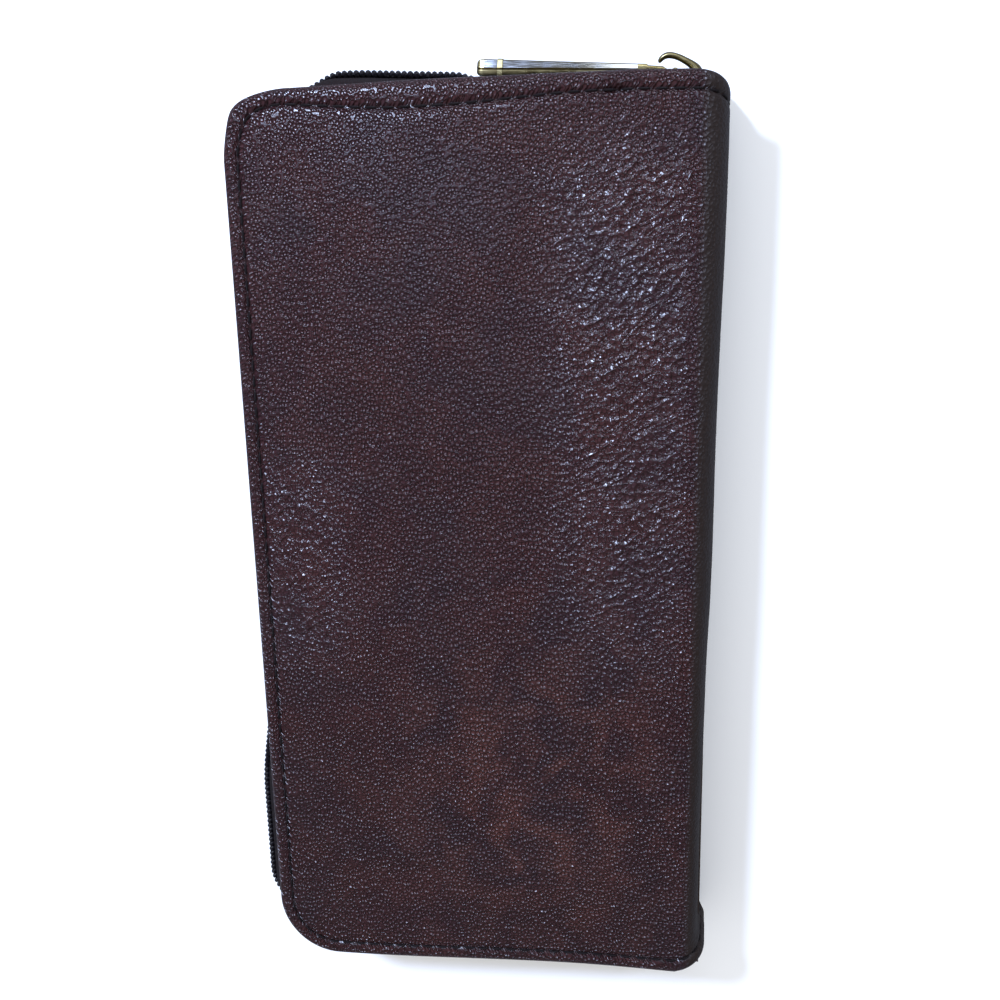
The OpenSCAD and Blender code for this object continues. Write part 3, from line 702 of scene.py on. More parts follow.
def tape_finish(look, sizes):
    return woven_finish("zip_tape", look.tape, look.coil, 0.55, 0.09, 0.75, shine=0.12)


def fabric_finish(look, sizes):
    return woven_finish("inner_fabric", look.fabric, look.grain_shadow, 0.3, 0.05, 0.66, sheen=0.15)


FINISHES = {
    "cover_leather": cover_leather_finish,
    "inner_leather": inner_leather_finish,
    "lining": lining_finish,
    "thread": thread_finish,
    "zip_tape": tape_finish,
    "zip_coil": coil_finish,
    "antique_brass": brass_finish,
    "inner_fabric": fabric_finish,
    "polished_facet_painted_reflection": polished_facet_reflection_finish,
    "pale_floor": floor_finish,
}


def dress(piece, finish):
    """Gives a piece its finish, made once."""
    if f"{finish}_finish" not in bpy.data.materials:
        scene = bpy.context.scene
        FINISHES[finish](scene.wallet_colours, scene.wallet_sizes)
    piece.data.materials.append(bpy.data.materials[f"{finish}_finish"])
    return piece


# ---------------------------------------------------------------- the wrapped covers

def hide_grid(step, rim_rows, rounds=14):
    """Line distances across a wrapped cover: (from the zip edge, from the nearer end, which end)."""
    rim = rim_rows[:, 0]
    start = rim[-1]
    flat = np.linspace(start, FLAT_END - 1.2, int((FLAT_END - start) / step))[1:]
    border = FLAT_END + np.array([-0.7, -0.3, 0.0, 0.35, 0.8])
    bend = np.linspace(FLAT_END + 1.3, ROUND_END, rounds)
    spine = np.linspace(ROUND_END, HIDE_END, 6)[1:]
    across = np.concatenate([rim, flat, border, bend, spine])
    half = np.linspace(start, END_Y, int((END_Y - start) / step))[1:]
    ends = np.concatenate([rim, half])
    distance = np.concatenate([ends, ends[-2::-1]])
    sign = np.concatenate([-np.ones(len(ends)), np.ones(len(ends) - 1)])
    return across[:, None], distance[None, :], sign[None, :]


def hide_place(ex, ey, sign, rim_rows):
    """Where a grid point lies on the unfolded hide, and how deep the rim takes it under the face."""
    near = np.minimum(ex, ey)
    last = rim_rows[-1, 0]
    inset = np.where(near < last, np.interp(near, rim_rows[:, 0], rim_rows[:, 1]), near)
    depth = np.interp(near, rim_rows[:, 0], rim_rows[:, 2])
    a, b = CORNER_R - ex, CORNER_R - ey
    corner = (a > 0) & (b > 0)
    most = np.maximum(np.maximum(a, b), 1e-9)
    least = np.minimum(a, b)
    share = math.pi / 4 * np.clip(least / most, 0, 1)
    angle = np.where(a >= b, share, math.pi / 2 - share)
    radius = CORNER_R - inset
    s = np.where(corner, CORNER_R - radius * np.cos(angle), np.where(ex < ey, inset, ex))
    from_end = np.where(corner, CORNER_R - radius * np.sin(angle), np.where(ex < ey, ey, inset))
    return s, sign * (END_Y - from_end), depth


def relief(s, y, side, sizes):
    """How far the leather stands out of the even face, in millimetres."""
    seed = 11 if side == "front" else 29
    inside = ease((np.minimum(s, END_Y - np.abs(y)) - 3.6) / 5)
    fold = ease((FLAT_END - s) / 6)
    soft = ripple(s, y, 34, seed) * 0.16 + ripple(s, y, 15, seed + 1) * 0.06
    fan = np.abs(ripple(s * 0.5 + y * 0.55, y * 0.3 - s * 0.35, 3.2, seed + 2))
    knot = np.abs(ripple(s, y * 0.8, 4.6, seed + 3))
    fan_zone, knot_zone = crease_zones(s, y)
    creases = fan_zone * (0.5 - fan) * 0.2 + knot_zone * (0.5 - knot) * 0.16
    lift = (soft + creases * sizes.wrinkle_depth / MM / 0.2) * inside * (0.35 + 0.65 * fold)
    border = 0.14 * np.exp(-(((s - FLAT_END) / 0.45) ** 2))
    dent = 0.7 * np.exp(-(((s + EDGE_X - 28.5) / 2.6) ** 4 + ((y - 94.2) / 0.7) ** 2))
    crown = sizes.crown / MM * (1 - (2 * s / FLAT_END - 1) ** 4).clip(0) * (1 - (y / END_Y) ** 6) * fold
    if side == "back":
        lift = np.minimum(lift, 0) - 0.05
        crown = crown * 0
        dent = dent * 0
    return lift + crown - border - dent


def crease_zones(s, y):
    """Where creases fan towards the spine, and where the leather is crumpled near the zip edge."""
    x = s + EDGE_X
    fan = hill(x, 8, 30, 41, 44.5) * hill(y, -35, 5, 72, 92)
    knot = hill(x, -49, -44, -36, -22) * hill(y, -30, -12, 14, 30)
    return fan, knot * 0.9


def top_edge(s, y):
    """Where a line across the hide lies: the top rim is wider in its middle and bows out a little."""
    x = s + EDGE_X
    from_top = END_Y - y
    reach = 12.0
    wider = 0.9 + 0.62 * ease((x + 42) / 30) - 0.45 * ease((x + 8) / 34)
    near_top = np.where(
        from_top < RIM_END, from_top * wider,
        RIM_END * wider + (from_top - RIM_END) * (reach - RIM_END * wider) / (reach - RIM_END),
    )
    y = np.where((from_top < reach) & (from_top > 0), END_Y - near_top, y)
    return y + (0.55 * ease((x + 44) / 40) - 0.35 * ease((x - 30) / 16)) * ease((y - 55) / 38)


def fold_hide(s, y, depth, side, sizes):
    """Places points of the unfolded hide in space: flat cover, round fold and half of the spine."""
    y = top_edge(s, y)
    out = relief(s, y, side, sizes) - depth
    turn = np.clip((s - FLAT_END) / FOLD_ROUND, 0, math.pi / 2)
    down = np.clip(s - ROUND_END, 0, None)
    middle_x = SPINE_X - FOLD_ROUND
    x = np.where(s < FLAT_END, EDGE_X + s, middle_x + (FOLD_ROUND + out) * np.sin(turn))
    z = np.where(s < FLAT_END, TOP_Z + out, TOP_Z - FOLD_ROUND + (FOLD_ROUND + out) * np.cos(turn) - down)
    turned = ease((s - FLAT_END) / (ROUND_END - FLAT_END))
    hollow = (1.1 * ease((92 - y) / 75) + 1.3 * ease((20 - y) / 85)) * ease((y + 100) / 10)
    x = x - hollow * turned
    bent = np.clip((s - FLAT_END + 0.6) / (ROUND_END - FLAT_END), 0, 1)
    recede = np.where(y > 0, 2.6 * bent**2, 3.6 * bent) + 1.2 * ease(down / 5.5)
    y = y - np.sign(y) * recede * ease((np.abs(y) - 66) / (END_Y - 66)) * (s > FLAT_END - 2)
    return to_side(settle(np.stack(np.broadcast_arrays(x, y, z), axis=-1)), side)


def blend_cover(piece, side):
    """Bakes the piece's transform into its mesh, the same way for either side."""
    if side == "back":
        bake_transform(piece)
    else:
        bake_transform(piece)


def leather_wrap(side, sizes):
    """Leather of one cover with its turned-in hem, round fold and half of the spine, as one closed shell."""
    ex, ey, sign = hide_grid(0.9, RIM)
    s, y, depth = hide_place(ex, ey, sign, RIM)
    outer = fold_hide(s, y, depth, side, sizes)
    hem = RIM[0, 1]
    tuck = np.array([(-4.6, hem, 1.5), (-3.0, hem + 0.3, 1.2), (5.0, 7.0, 1.05), (8.0, 8.0, 1.05)])
    s_in, y_in, depth_in = hide_place(ex, ey, sign, tuck)
    inner = fold_hide(s_in, y_in, depth_in, side, sizes)
    points, faces = shell_between(outer, inner)
    along = top_edge(s, y) + depth * 1.5 * np.sign(y)
    laid = np.stack(np.broadcast_arrays(s + depth * 1.5, along, depth * 0), axis=-1)
    if side == "back":
        laid = laid + [400, 130, 0]
    laid = np.concatenate([laid.reshape(-1, 3)] * 2)
    fan, knot = crease_zones(s, y)
    creased = np.maximum(fan, knot) * np.ones_like(s)
    rubbed = np.exp(-(((s + EDGE_X - 12) / 26) ** 2 + ((y + 52) / 30) ** 2)) + 0.25
    spine = ease((s - FLAT_END - 0.6) / 2.4) * np.ones_like(y)
    near = np.minimum(ex, ey)
    # painted shade along the stitch groove and in the slit of the top seam
    seam_shade = np.exp(-(((near - SEAM_INSET) / 0.32) ** 2)) * np.ones_like(s)
    slit = np.exp(-(((s + EDGE_X - 28.5) / 2.6) ** 4)) * np.exp(-(((near - SEAM_INSET) / 0.6) ** 2)) * (y > 0)
    seam_shade = np.clip(np.maximum(seam_shade * 0.75, slit), 0, 1)
    zones = {
        "seam_shade_zone": np.concatenate([seam_shade.ravel()] * 2),
        "crease_zone": np.concatenate([creased.ravel()] * 2),
        "rubbed_zone": np.concatenate([np.clip(rubbed * np.ones_like(s), 0, 1).ravel()] * 2),
        "spine_zone": np.concatenate([spine.ravel()] * 2),
    }
    return new_piece(f"leather_{side}", points, faces, laid, zones, flip=side == "front", sharp=70)


def seam_line(side, sizes, depth):
    """Points and outward directions of the stitch line, from spine end to spine end."""
    reach = HIDE_END - 0.4
    top = np.linspace(reach, CORNER_R, 160)
    arc = np.linspace(math.pi / 2, 0, 24)[1:-1]
    left = np.linspace(END_Y - CORNER_R, -(END_Y - CORNER_R), 200)
    radius = CORNER_R - SEAM_INSET
    s = np.concatenate([
        top, CORNER_R - radius * np.cos(arc), np.full(200, SEAM_INSET),
        CORNER_R - radius * np.cos(arc[::-1]), top[::-1],
    ])
    y = np.concatenate([
        np.full(160, END_Y - SEAM_INSET), END_Y - CORNER_R + radius * np.sin(arc), left,
        -(END_Y - CORNER_R + radius * np.sin(arc[::-1])), np.full(160, -(END_Y - SEAM_INSET)),
    ])
    line = fold_hide(s, y, np.full_like(s, depth), side, sizes)
    above = fold_hide(s, y, np.full_like(s, depth - 1), side, sizes)
    return line, unit(above - line)


# ---------------------------------------------------------------- the zip

def zip_path(step=0.8):
    """The tape's outer face at the chain, from the spine's top end round to its bottom end."""
    left_x = ZIP_LEFT + ZIP_R
    bottom_cy = ZIP_BOTTOM + ZIP_R
    touch = np.array([left_x + ZIP_R * math.sin(RISE), ZIP_TOP_CY + ZIP_R * math.cos(RISE)])
    start = np.array([ZIP_END_X, touch[1] - (ZIP_END_X - touch[0]) * math.tan(RISE)])
    top = np.linspace(start, touch, int((ZIP_END_X - touch[0]) / step))
    a = np.linspace(math.pi / 2 - RISE, math.pi, 26)[1:]
    turn = np.stack([left_x + ZIP_R * np.cos(a), ZIP_TOP_CY + ZIP_R * np.sin(a)], axis=1)
    rows = int((ZIP_TOP_CY - bottom_cy) / step)
    side = np.linspace([ZIP_LEFT, ZIP_TOP_CY], [ZIP_LEFT, bottom_cy], rows)[1:]
    a = np.linspace(math.pi, math.pi * 1.5, 26)[1:]
    lower = np.stack([left_x + ZIP_R * np.cos(a), bottom_cy + ZIP_R * np.sin(a)], axis=1)
    bottom = np.linspace([left_x, ZIP_BOTTOM], [ZIP_END_X, ZIP_BOTTOM], int((ZIP_END_X - left_x) / step))[1:]
    path = np.concatenate([top, turn, side, lower, bottom])
    tangent = unit(np.gradient(path, axis=0))
    out = np.stack([tangent[:, 1], -tangent[:, 0]], axis=1)
    return path, -out if out[0, 1] < 0 else out


def zip_swell(path):
    """How far the chain bows out between the covers, and how far it is tucked in, in millimetres."""
    x, y = path[:, 0], path[:, 1]
    top = 0.9 * hill(x, -38, -22, -4, 1.2) * (y > 60)
    left = 2.9 * hill(y, -93, -82, -60, -34) * (x < EDGE_X + CORNER_R)
    tucked = 3.1 * ease((-27.5 - x) / 9) * ease((y - 80) / 10)
    return top + left, tucked


def chain_line(step=0.8):
    """The chain's path, its outward directions, how far it swells out and how far it is tucked in."""
    path, out = zip_path(step)
    return path, out, *zip_swell(path)


def tape_ribbon(side):
    """Zip tape from its sewn-in edge under the cover out and round to the chain."""
    path, out, swell, tucked = chain_line()
    sewn = np.where(path[:, 1] > 60, np.clip(path[:, 1] - 92, 3.0, 7.0), 6.6)
    shape = [(-1.0, 21.75), (-0.5, 21.75), (-0.24, 21.72), (0, 21.5), (0, 20.9), (0, 19.8), (0, 18.2),
             (0, 16.4), (0, 14.9), (0, TAPE_LOW[2] + 0.05)]
    across = [None, None, -2.3, -1.5, -0.85, -0.42, -0.27, -0.25, -0.25, -0.25]
    rows = []
    for (share, z), n in zip(shape, across):
        reach = share * sewn if n is None else np.full(len(path), n)
        weight = float(ease((21.0 - z) / 7.0))
        flat = path + out * (reach + swell * weight - tucked)[:, None]
        rows.append(np.column_stack([flat, np.full(len(path), z)]))
    grid = settle(np.stack(rows, axis=1))
    points, faces, places = thick_sheet(grid, 0.46)
    return new_piece(f"zip_tape_{side}", to_side(points, side), faces, places, flip=side == "back")


def chain_coil(side, sizes):
    """One half of the chain: a flattened nylon spiral round a soft cord."""
    path, out, swell, tucked = chain_line(0.5)
    keep = (path[:, 0] < ZIP_END_X - 4.0) | (path[:, 1] < 0)
    path, out, swell = path[keep], out[keep], (swell - tucked)[keep]
    flat = path + out * (0.78 + swell)[:, None]
    half_thick = 0.86 - sizes.coil_wire / MM
    centre = settle(np.column_stack([flat, np.full(len(flat), MID_Z + 1.42)]))
    outward = np.column_stack([out, np.zeros(len(out))])
    up = np.tile([0.0, 0.0, 1.0], (len(out), 1))
    wire = sizes.coil_wire / MM
    pitch = sizes.coil_pitch / MM
    shift = 0.0 if side == "front" else 0.5
    spiral = coil_wire(centre, outward, up, 1.58 - wire, half_thick, pitch, wire, shift)
    _, core, core_out, core_up = along_path(centre, outward, up, step=1.0)
    cord = tube(core, core_out, core_up, 0.34, 1.0, ring=8)
    points, faces, places = join_parts([spiral, cord])
    return new_piece(f"zip_coil_{side}", to_side(points, side), faces, places, flip=side == "back")


# ---------------------------------------------------------------- slider, hook and puller

def on_run(points):
    """Places a drawing made about the slider's middle, with the chain along X, on the top run."""
    pivot = np.array(joint("puller_swing")["pos_m"], float) / MM
    cos, sin = math.cos(-RISE), math.sin(-RISE)
    moved = np.array(points, float)
    x, y = moved[..., 0] - PIVOT[0], moved[..., 1] - PIVOT[1]
    moved[..., 0] = pivot[0] + x * cos - y * sin
    moved[..., 1] = pivot[1] + x * sin + y * cos
    moved[..., 2] = moved[..., 2] + MID_Z
    return moved


PIVOT = (-1.6, 2.1)


def hook_rod():
    """The slender rounded hook, from its foot on the slider to its curled tip."""
    spine = np.array([
        (2.55, 0.9), (2.6, 1.5), (2.25, 2.35), (1.45, 3.1), (0.1, 3.85), (-1.3, 4.45), (-2.6, 4.75),
        (-3.6, 4.68), (-4.45, 4.15), (-4.95, 3.35),
    ])
    thick = np.array([2.5, 2.35, 2.0, 1.55, 1.3, 1.2, 1.2, 1.15, 1.0, 0.7])
    wide = np.array([2.6, 2.55, 2.4, 2.3, 2.25, 2.2, 2.2, 2.1, 1.8, 1.2])
    t = np.arange(len(spine))
    fine = np.linspace(0, len(spine) - 1, 55)
    line = np.stack([smooth_through(t, spine[:, k], fine) for k in range(2)], axis=1)
    centres = np.column_stack([line, np.zeros(len(line))])
    forward = unit(np.gradient(centres, axis=0))
    side = np.tile([0.0, 0.0, 1.0], (len(centres), 1))
    out = np.cross(side, forward)
    half_out = smooth_through(t, thick, fine) / 2
    half_side = smooth_through(t, wide, fine) / 2
    end = np.sqrt(np.clip(1 - ((fine - fine[-1] + 0.5) / 0.5).clip(0) ** 2, 0.02, 1))
    return tube(centres, out, side, half_out * end, half_side * end, ring=18)


def smooth_through(t, values, fine):
    """A smooth curve through values, by Catmull-Rom."""
    padded = np.concatenate([[2 * values[0] - values[1]], values, [2 * values[-1] - values[-2]]])
    i = np.clip(fine.astype(int), 0, len(values) - 2)
    f = fine - i
    p0, p1, p2, p3 = (padded[i + k] for k in range(4))
    square, cube = 2 * p0 - 5 * p1 + 4 * p2 - p3, 3 * p1 - p0 - 3 * p2 + p3
    return 0.5 * (2 * p1 + (p2 - p0) * f + square * f**2 + cube * f**3)


def bar_section(half_t, half_w):
    """Cross-section of the puller (across the chain's outward side, across its width), with a grooved side."""
    top, low = half_t, -half_t
    groove = -half_t * 0.12
    right = [
        (top, half_w - 0.8), (top - 0.26, half_w - 0.3), (groove + 0.1, half_w - 0.04),
        (groove, half_w - 0.2), (groove - 0.1, half_w - 0.26), (groove - 0.2, half_w - 0.2),
        (groove - 0.32, half_w), (low + 0.42, half_w), (low + 0.12, half_w - 0.12), (low, half_w - 0.42),
    ]
    left = [(y, -z) for y, z in reversed(right)]
    return np.array(right + left)


def puller_bar():
    """Tapered bar with grooved sides, a band near its free end and a forked eye round its crossbar."""
    length = PULLER_LENGTH
    parts = []
    stations = [
        (-length, 0.45, 0.6), (-length + 0.12, 0.72, 0.8), (-length + 0.4, 0.88, 0.92),
        (-length + 0.9, 0.97, 0.985), (-length + 1.6, 1.0, 1.0), (-length + 4.2, 1.0, 1.0),
        (-length + 4.3, 1.1, 1.04), (-length + 5.3, 1.1, 1.04), (-length + 5.4, 1.0, 1.0),
        (-26.0, 1.0, 1.0), (-18.0, 1.0, 1.0), (-10.0, 1.0, 1.0), (-8.6, 1.0, 1.0), (-7.0, 1.0, 1.0),
        (-6.4, 1.0, 1.0),
    ]
    rings = []
    for x, grow_t, grow_w in stations:
        half_t = 0.75 + (1.6 - 0.75) * min(1.0, -x / (length - 1))
        section = bar_section(half_t * grow_t, 2.5 * grow_w)
        rings.append(np.column_stack([np.full(len(section), x), section]))
    rings = np.array(rings)
    count = rings.shape[1]
    points = rings.reshape(-1, 3)
    faces = []
    for i in range(len(stations) - 1):
        for j in range(count):
            k = (j + 1) % count
            faces.append((i * count + j, i * count + k, (i + 1) * count + k, (i + 1) * count + j))
    faces.append(tuple(range(count - 1, -1, -1)))
    faces.append(tuple((len(stations) - 1) * count + j for j in range(count)))
    parts.append((points, faces, points))
    for side in (-1, 1):
        x = np.array([-7.2, -5.5, -5.2, -2.4, -1.5, 0.4, 0.7])
        dip = np.array([0.0, 0.0, -0.05, -0.14, -0.5, -0.5, -0.45])
        centres = np.column_stack([x, dip, np.full(7, side * 2.04)])
        out = np.tile([0.0, 1.0, 0.0], (7, 1))
        across = np.tile([0.0, 0.0, 1.0], (7, 1))
        tall = np.array([0.88, 0.86, 0.64, 0.58, 0.42, 0.45, 0.2])
        parts.append(tube(centres, out, across, tall, np.full(7, 0.46), ring=16))
    z = np.array([-2.35, -2.2, 2.2, 2.35])
    centres = np.column_stack([np.zeros(4), np.full(4, -0.35), z])
    out = np.tile([1.0, 0.0, 0.0], (4, 1))
    across = np.tile([0.0, 1.0, 0.0], (4, 1))
    parts.append(tube(centres, out, across, [0.35, 0.58, 0.58, 0.35], [0.35, 0.58, 0.58, 0.35], ring=24))
    points, faces, places = join_parts(parts)
    lean = math.radians(0.6)
    turned = np.array(points)
    turned[:, 0] = points[:, 0] * math.cos(lean) - points[:, 1] * math.sin(lean) + PIVOT[0]
    turned[:, 1] = points[:, 0] * math.sin(lean) + points[:, 1] * math.cos(lean) + PIVOT[1]
    return on_run(turned), faces, places, len(stations), count


# ---------------------------------------------------------------- the inside

def flat_sheet(low, high, thin, bow=0.0, seed=1, step=2.5):
    """A thin sheet filling a box, about its middle, with a slight unevenness."""
    axes = [k for k in range(3) if k != thin]
    counts = [max(3, int((high[k] - low[k]) / step) + 1) for k in axes]
    u, v = np.meshgrid(
        np.linspace(low[axes[0]], high[axes[0]], counts[0]),
        np.linspace(low[axes[1]], high[axes[1]], counts[1]), indexing="ij",
    )
    grid = np.zeros(u.shape + (3,))
    grid[..., axes[0]], grid[..., axes[1]] = u, v
    from_u = np.minimum(u - low[axes[0]], high[axes[0]] - u)
    from_v = np.minimum(v - low[axes[1]], high[axes[1]] - v)
    inside = np.minimum(from_u, from_v)
    uneven = ripple(u, v, 26, seed) * bow * ease(inside / 5)
    grid[..., thin] = (low[thin] + high[thin]) / 2 + uneven
    return thick_sheet(grid, high[thin] - low[thin])


def gusset_sheet(side, end):
    """Folded cloth that closes one end of a note compartment, deeper at its mouth."""
    low, high = span(f"{side}_gusset_{end}")
    sign = 1 if end == "top" else -1
    outer = max(abs(low[1]), abs(high[1]))
    count = 40
    x = np.linspace(low[0], high[0], count)
    deep = GUSSET_MOUTH - GUSSET_TAPER * ease((x - low[0]) / (high[0] - low[0]))
    z = np.array([0.1, 0.16, 0.3, 0.42, 0.48, 0.5, 0.52, 0.58, 0.7, 0.84, 0.9])
    inward = np.array([0.0, 0.12, 0.5, 0.86, 0.97, 1.0, 0.97, 0.86, 0.5, 0.12, 0.0])
    grid = np.zeros((count, len(z), 3))
    grid[..., 0] = x[:, None]
    uneven = 0.25 * ripple(x, x * 0, 14, 5)[:, None] * inward
    grid[..., 1] = sign * (outer - 0.3 - deep[:, None] * inward[None, :] - uneven)
    grid[..., 2] = low[2] + (high[2] - low[2]) * z[None, :]
    points, faces, places = thick_sheet(grid, 0.3)
    piece = new_piece(f"gusset_{side}_{end}", points, faces, places, flip=sign > 0)
    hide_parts(f"{side}_gusset_{end}")
    dress(piece, "inner_fabric")
    if side == "back":
        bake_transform(piece)
    else:
        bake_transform(piece)
    return piece


# ---------------------------------------------------------------- settings

class WalletSizes(bpy.types.PropertyGroup):
    """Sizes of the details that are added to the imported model"""

    grain_size: bpy.props.FloatProperty(
        name="Grain", description="Usual width of a pebble in the leather's grain",
        default=0.00084, min=0.0003, max=0.003, unit="LENGTH", precision=5)
    wrinkle_depth: bpy.props.FloatProperty(
        name="Wrinkles", description="Depth of the soft wrinkles in the leather",
        default=0.0002, min=0.0, max=0.001, unit="LENGTH", precision=5)
    crown: bpy.props.FloatProperty(
        name="Crown", description="How far the front cover swells in its middle",
        default=0.0005, min=0.0, max=0.002, unit="LENGTH", precision=5)
    stitch_pitch: bpy.props.FloatProperty(
        name="Stitch pitch", description="Distance from one stitch to the next",
        default=0.0033, min=0.0015, max=0.005, unit="LENGTH", precision=5)
    stitch_length: bpy.props.FloatProperty(
        name="Stitch length", description="Length of thread that shows in a stitch",
        default=0.0024, min=0.001, max=0.004, unit="LENGTH", precision=5)
    thread_width: bpy.props.FloatProperty(
        name="Thread", description="Width of the sewing thread",
        default=0.0005, min=0.0002, max=0.001, unit="LENGTH", precision=5)
    coil_pitch: bpy.props.FloatProperty(
        name="Coil pitch", description="Distance from one turn of the zip's coil to the next",
        default=0.00125, min=0.001, max=0.003, unit="LENGTH", precision=5)
    coil_wire: bpy.props.FloatProperty(
        name="Coil wire", description="Radius of the nylon wire of the zip's coil",
        default=0.0006, min=0.0002, max=0.0007, unit="LENGTH", precision=5)


def colour(name, description, default):
    return bpy.props.FloatVectorProperty(
        name=name, description=description, default=(*default, 1.0), size=4, min=0.0, max=1.0, subtype="COLOR")


class WalletColours(bpy.types.PropertyGroup):
    """Colours of the wallet's materials and of the stage"""

    oxblood: colour("Oxblood", "Main colour of the cover leather", (0.029, 0.0094, 0.0115))
    plum: colour("Plum", "Cooler patches in the cover leather", (0.020, 0.0082, 0.0135))
    chestnut: colour("Chestnut", "Reddish rubbed patches in the leather", (0.066, 0.0215, 0.0185))
    # Spine colour: painted shade, darker than the cover because the spine turns away from the light
    spine_shade: colour("Spine brown", "Leather of the fold and the spine", (0.0140, 0.0058, 0.0040))
    grain_shadow: colour("Grain shadow", "Valleys between the pebbles of the grain", (0.0075, 0.0026, 0.0029))
    inner_leather: colour("Inner leather", "Card leaves and the coin pocket's trim", (0.045, 0.019, 0.017))
    worn_edge: colour("Worn edge", "Rubbed edges of the inner leather", (0.12, 0.055, 0.04))
    lining: colour("Lining", "Cloth that lines the covers", (0.035, 0.02, 0.017))
    fabric: colour("Inner fabric", "Cloth of the card panels, gussets and coin pocket", (0.045, 0.026, 0.021))
    thread: colour("Thread", "Sewing thread", (0.0045, 0.003, 0.0034))
    tape: colour("Zip tape", "Woven tape of the zips", (0.011, 0.0052, 0.005))
    coil: colour("Zip coil", "Nylon coil of the zips", (0.008, 0.007, 0.009))
    coil_dust: colour("Coil dust", "Dust caught in the coil", (0.05, 0.045, 0.045))
    brass: colour("Brass", "Antique brass of the sliders and pullers", (0.20, 0.155, 0.062))
    brass_dark: colour("Dark brass", "Brown patina on the brass", (0.09, 0.066, 0.03))
    brass_bright: colour("Bright brass", "Brass where it is rubbed bright", (0.5, 0.42, 0.21))
    # Pale bluish facet colour: a painted reflection of the cool light on the brass puller
    facet: colour("Polished facet", "Pale polished facets of the puller", (0.58, 0.62, 0.70))
    floor_mirrored: colour("Floor in reflections", "The floor as glossy surfaces mirror it", (0.2, 0.2, 0.21))
    floor: colour("Floor", "The plain floor under the wallet", (0.88, 0.88, 0.885))


# ---------------------------------------------------------------- operators

class WALLET_OT_leather(bpy.types.Operator):
    """Wraps the leather round both covers and the spine"""

    bl_idname = "wallet.leather"
    bl_label = "Leather"

    def execute(self, context):
        sizes = context.scene.wallet_sizes
        for side in ("front", "back"):
            wrap = leather_wrap(side, sizes)
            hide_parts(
                f"{side}_leather", f"{side}_board", f"{side}_fold", "spine_leather", "spine_board"
            )
            dress(wrap, "cover_leather")
            blend_cover(wrap, side)
        return {"FINISHED"}


class WALLET_OT_lining(bpy.types.Operator):
    """Lines both covers and the spine"""

    bl_idname = "wallet.lining"
    bl_label = "Lining"

    def execute(self, context):
        sizes = context.scene.wallet_sizes
        rim = np.array([(0.95, 0.95, 0.0), (2.0, 2.0, 0.0), (5.0, 5.0, 0.0)])
        ex, ey, sign = hide_grid(3.0, rim, rounds=8)
        s, y, depth = hide_place(ex, ey, sign, rim)
        for side in ("front", "back"):
            middle = (LINING_DEPTH + COVER_DEPTH) / 2
            grid = fold_hide(s, y, depth + middle, side, sizes)
            points, faces, places = thick_sheet(grid, COVER_DEPTH - LINING_DEPTH - 0.04)
            lining = new_piece(f"lining_{side}", points, faces, places, flip=side == "back")
            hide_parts(f"{side}_lining", "spine_lining")
            dress(lining, "lining")
            blend_cover(lining, side)
        return {"FINISHED"}


class WALLET_OT_stitches(bpy.types.Operator):
    """Sews the stitch line round each cover and across the spine's ends"""

    bl_idname = "wallet.stitches"
    bl_label = "Stitches"

    def execute(self, context):
        sizes = context.scene.wallet_sizes
        for side in ("front", "back"):
            line, away = seam_line(side, sizes, 0.3)
            row = stitch_row(
                line, away, sizes.stitch_pitch / MM, sizes.stitch_length / MM, sizes.thread_width / MM, 0.35
            )
            points, faces, places = join_parts(row)
            sewn = new_piece(f"stitches_{side}", points, faces, places)
            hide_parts(f"{side}_seam", "spine_seam")
            dress(sewn, "thread")
            blend_cover(sewn, side)
        return {"FINISHED"}


class WALLET_OT_zip(bpy.types.Operator):
    """Lays the zip's tapes, coils and end stops"""

    bl_idname = "wallet.zip"
    bl_label = "Main zip"

    def execute(self, context):
        sizes = context.scene.wallet_sizes
        for side in ("front", "back"):
            body = f"{side}_cover"
            tape = tape_ribbon(side)
            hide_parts(f"{side}_zip_tape")
            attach(dress(tape, "zip_tape"), body)
            coil = chain_coil(side, sizes)
            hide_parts(f"{side}_coil_top", f"{side}_coil_side")
            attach(dress(coil, "zip_coil"), body)
            stop = bevelled(f"{side}_zip_stops", f"zip_stop_{side}", 0.25)
            corners = np.array([v.co for v in stop.data.vertices]) / MM
            stop.data.vertices.foreach_set("co", (settle(corners) * MM).ravel())
            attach(dress(stop, "antique_brass"), body)
        return {"FINISHED"}


class WALLET_OT_slider(bpy.types.Operator):
    """Makes the main slider, its hook and its puller"""

    bl_idname = "wallet.slider"
    bl_label = "Slider and puller"

    def execute(self, context):
        body = bevelled("slider_body", "slider", 0.28, 3)
        corners = np.array([v.co for v in body.data.vertices]) / MM
        nose_x = span("slider_body")[1][0]
        corners[:, 0] -= 2.2 * ease((corners[:, 0] - nose_x + 3.5) / 3.5)
        body.data.vertices.foreach_set("co", (corners * MM).ravel())
        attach(dress(body, "antique_brass"), "slider")
        points, faces, _ = hook_rod()
        hook = new_piece("hook", on_run(points), faces, sharp=60)
        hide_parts("slider_hook")
        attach(dress(hook, "antique_brass"), "slider")
        points, faces, places, stations, count = puller_bar()
        puller = new_piece("zip_puller", points, faces, places, sharp=32)
        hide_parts("puller")
        dress(puller, "antique_brass")
        dress(puller, "polished_facet_painted_reflection")
        # the top chamfers take the facet finish, whose pale colour is a painted reflection
        facets = {1, count - 3}
        for i in range(4, stations - 2):
            if i in (6, 7):
                continue
            for j in facets:
                puller.data.polygons[i * count + j].material_index = 1
        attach(puller, "puller")
        return {"FINISHED"}


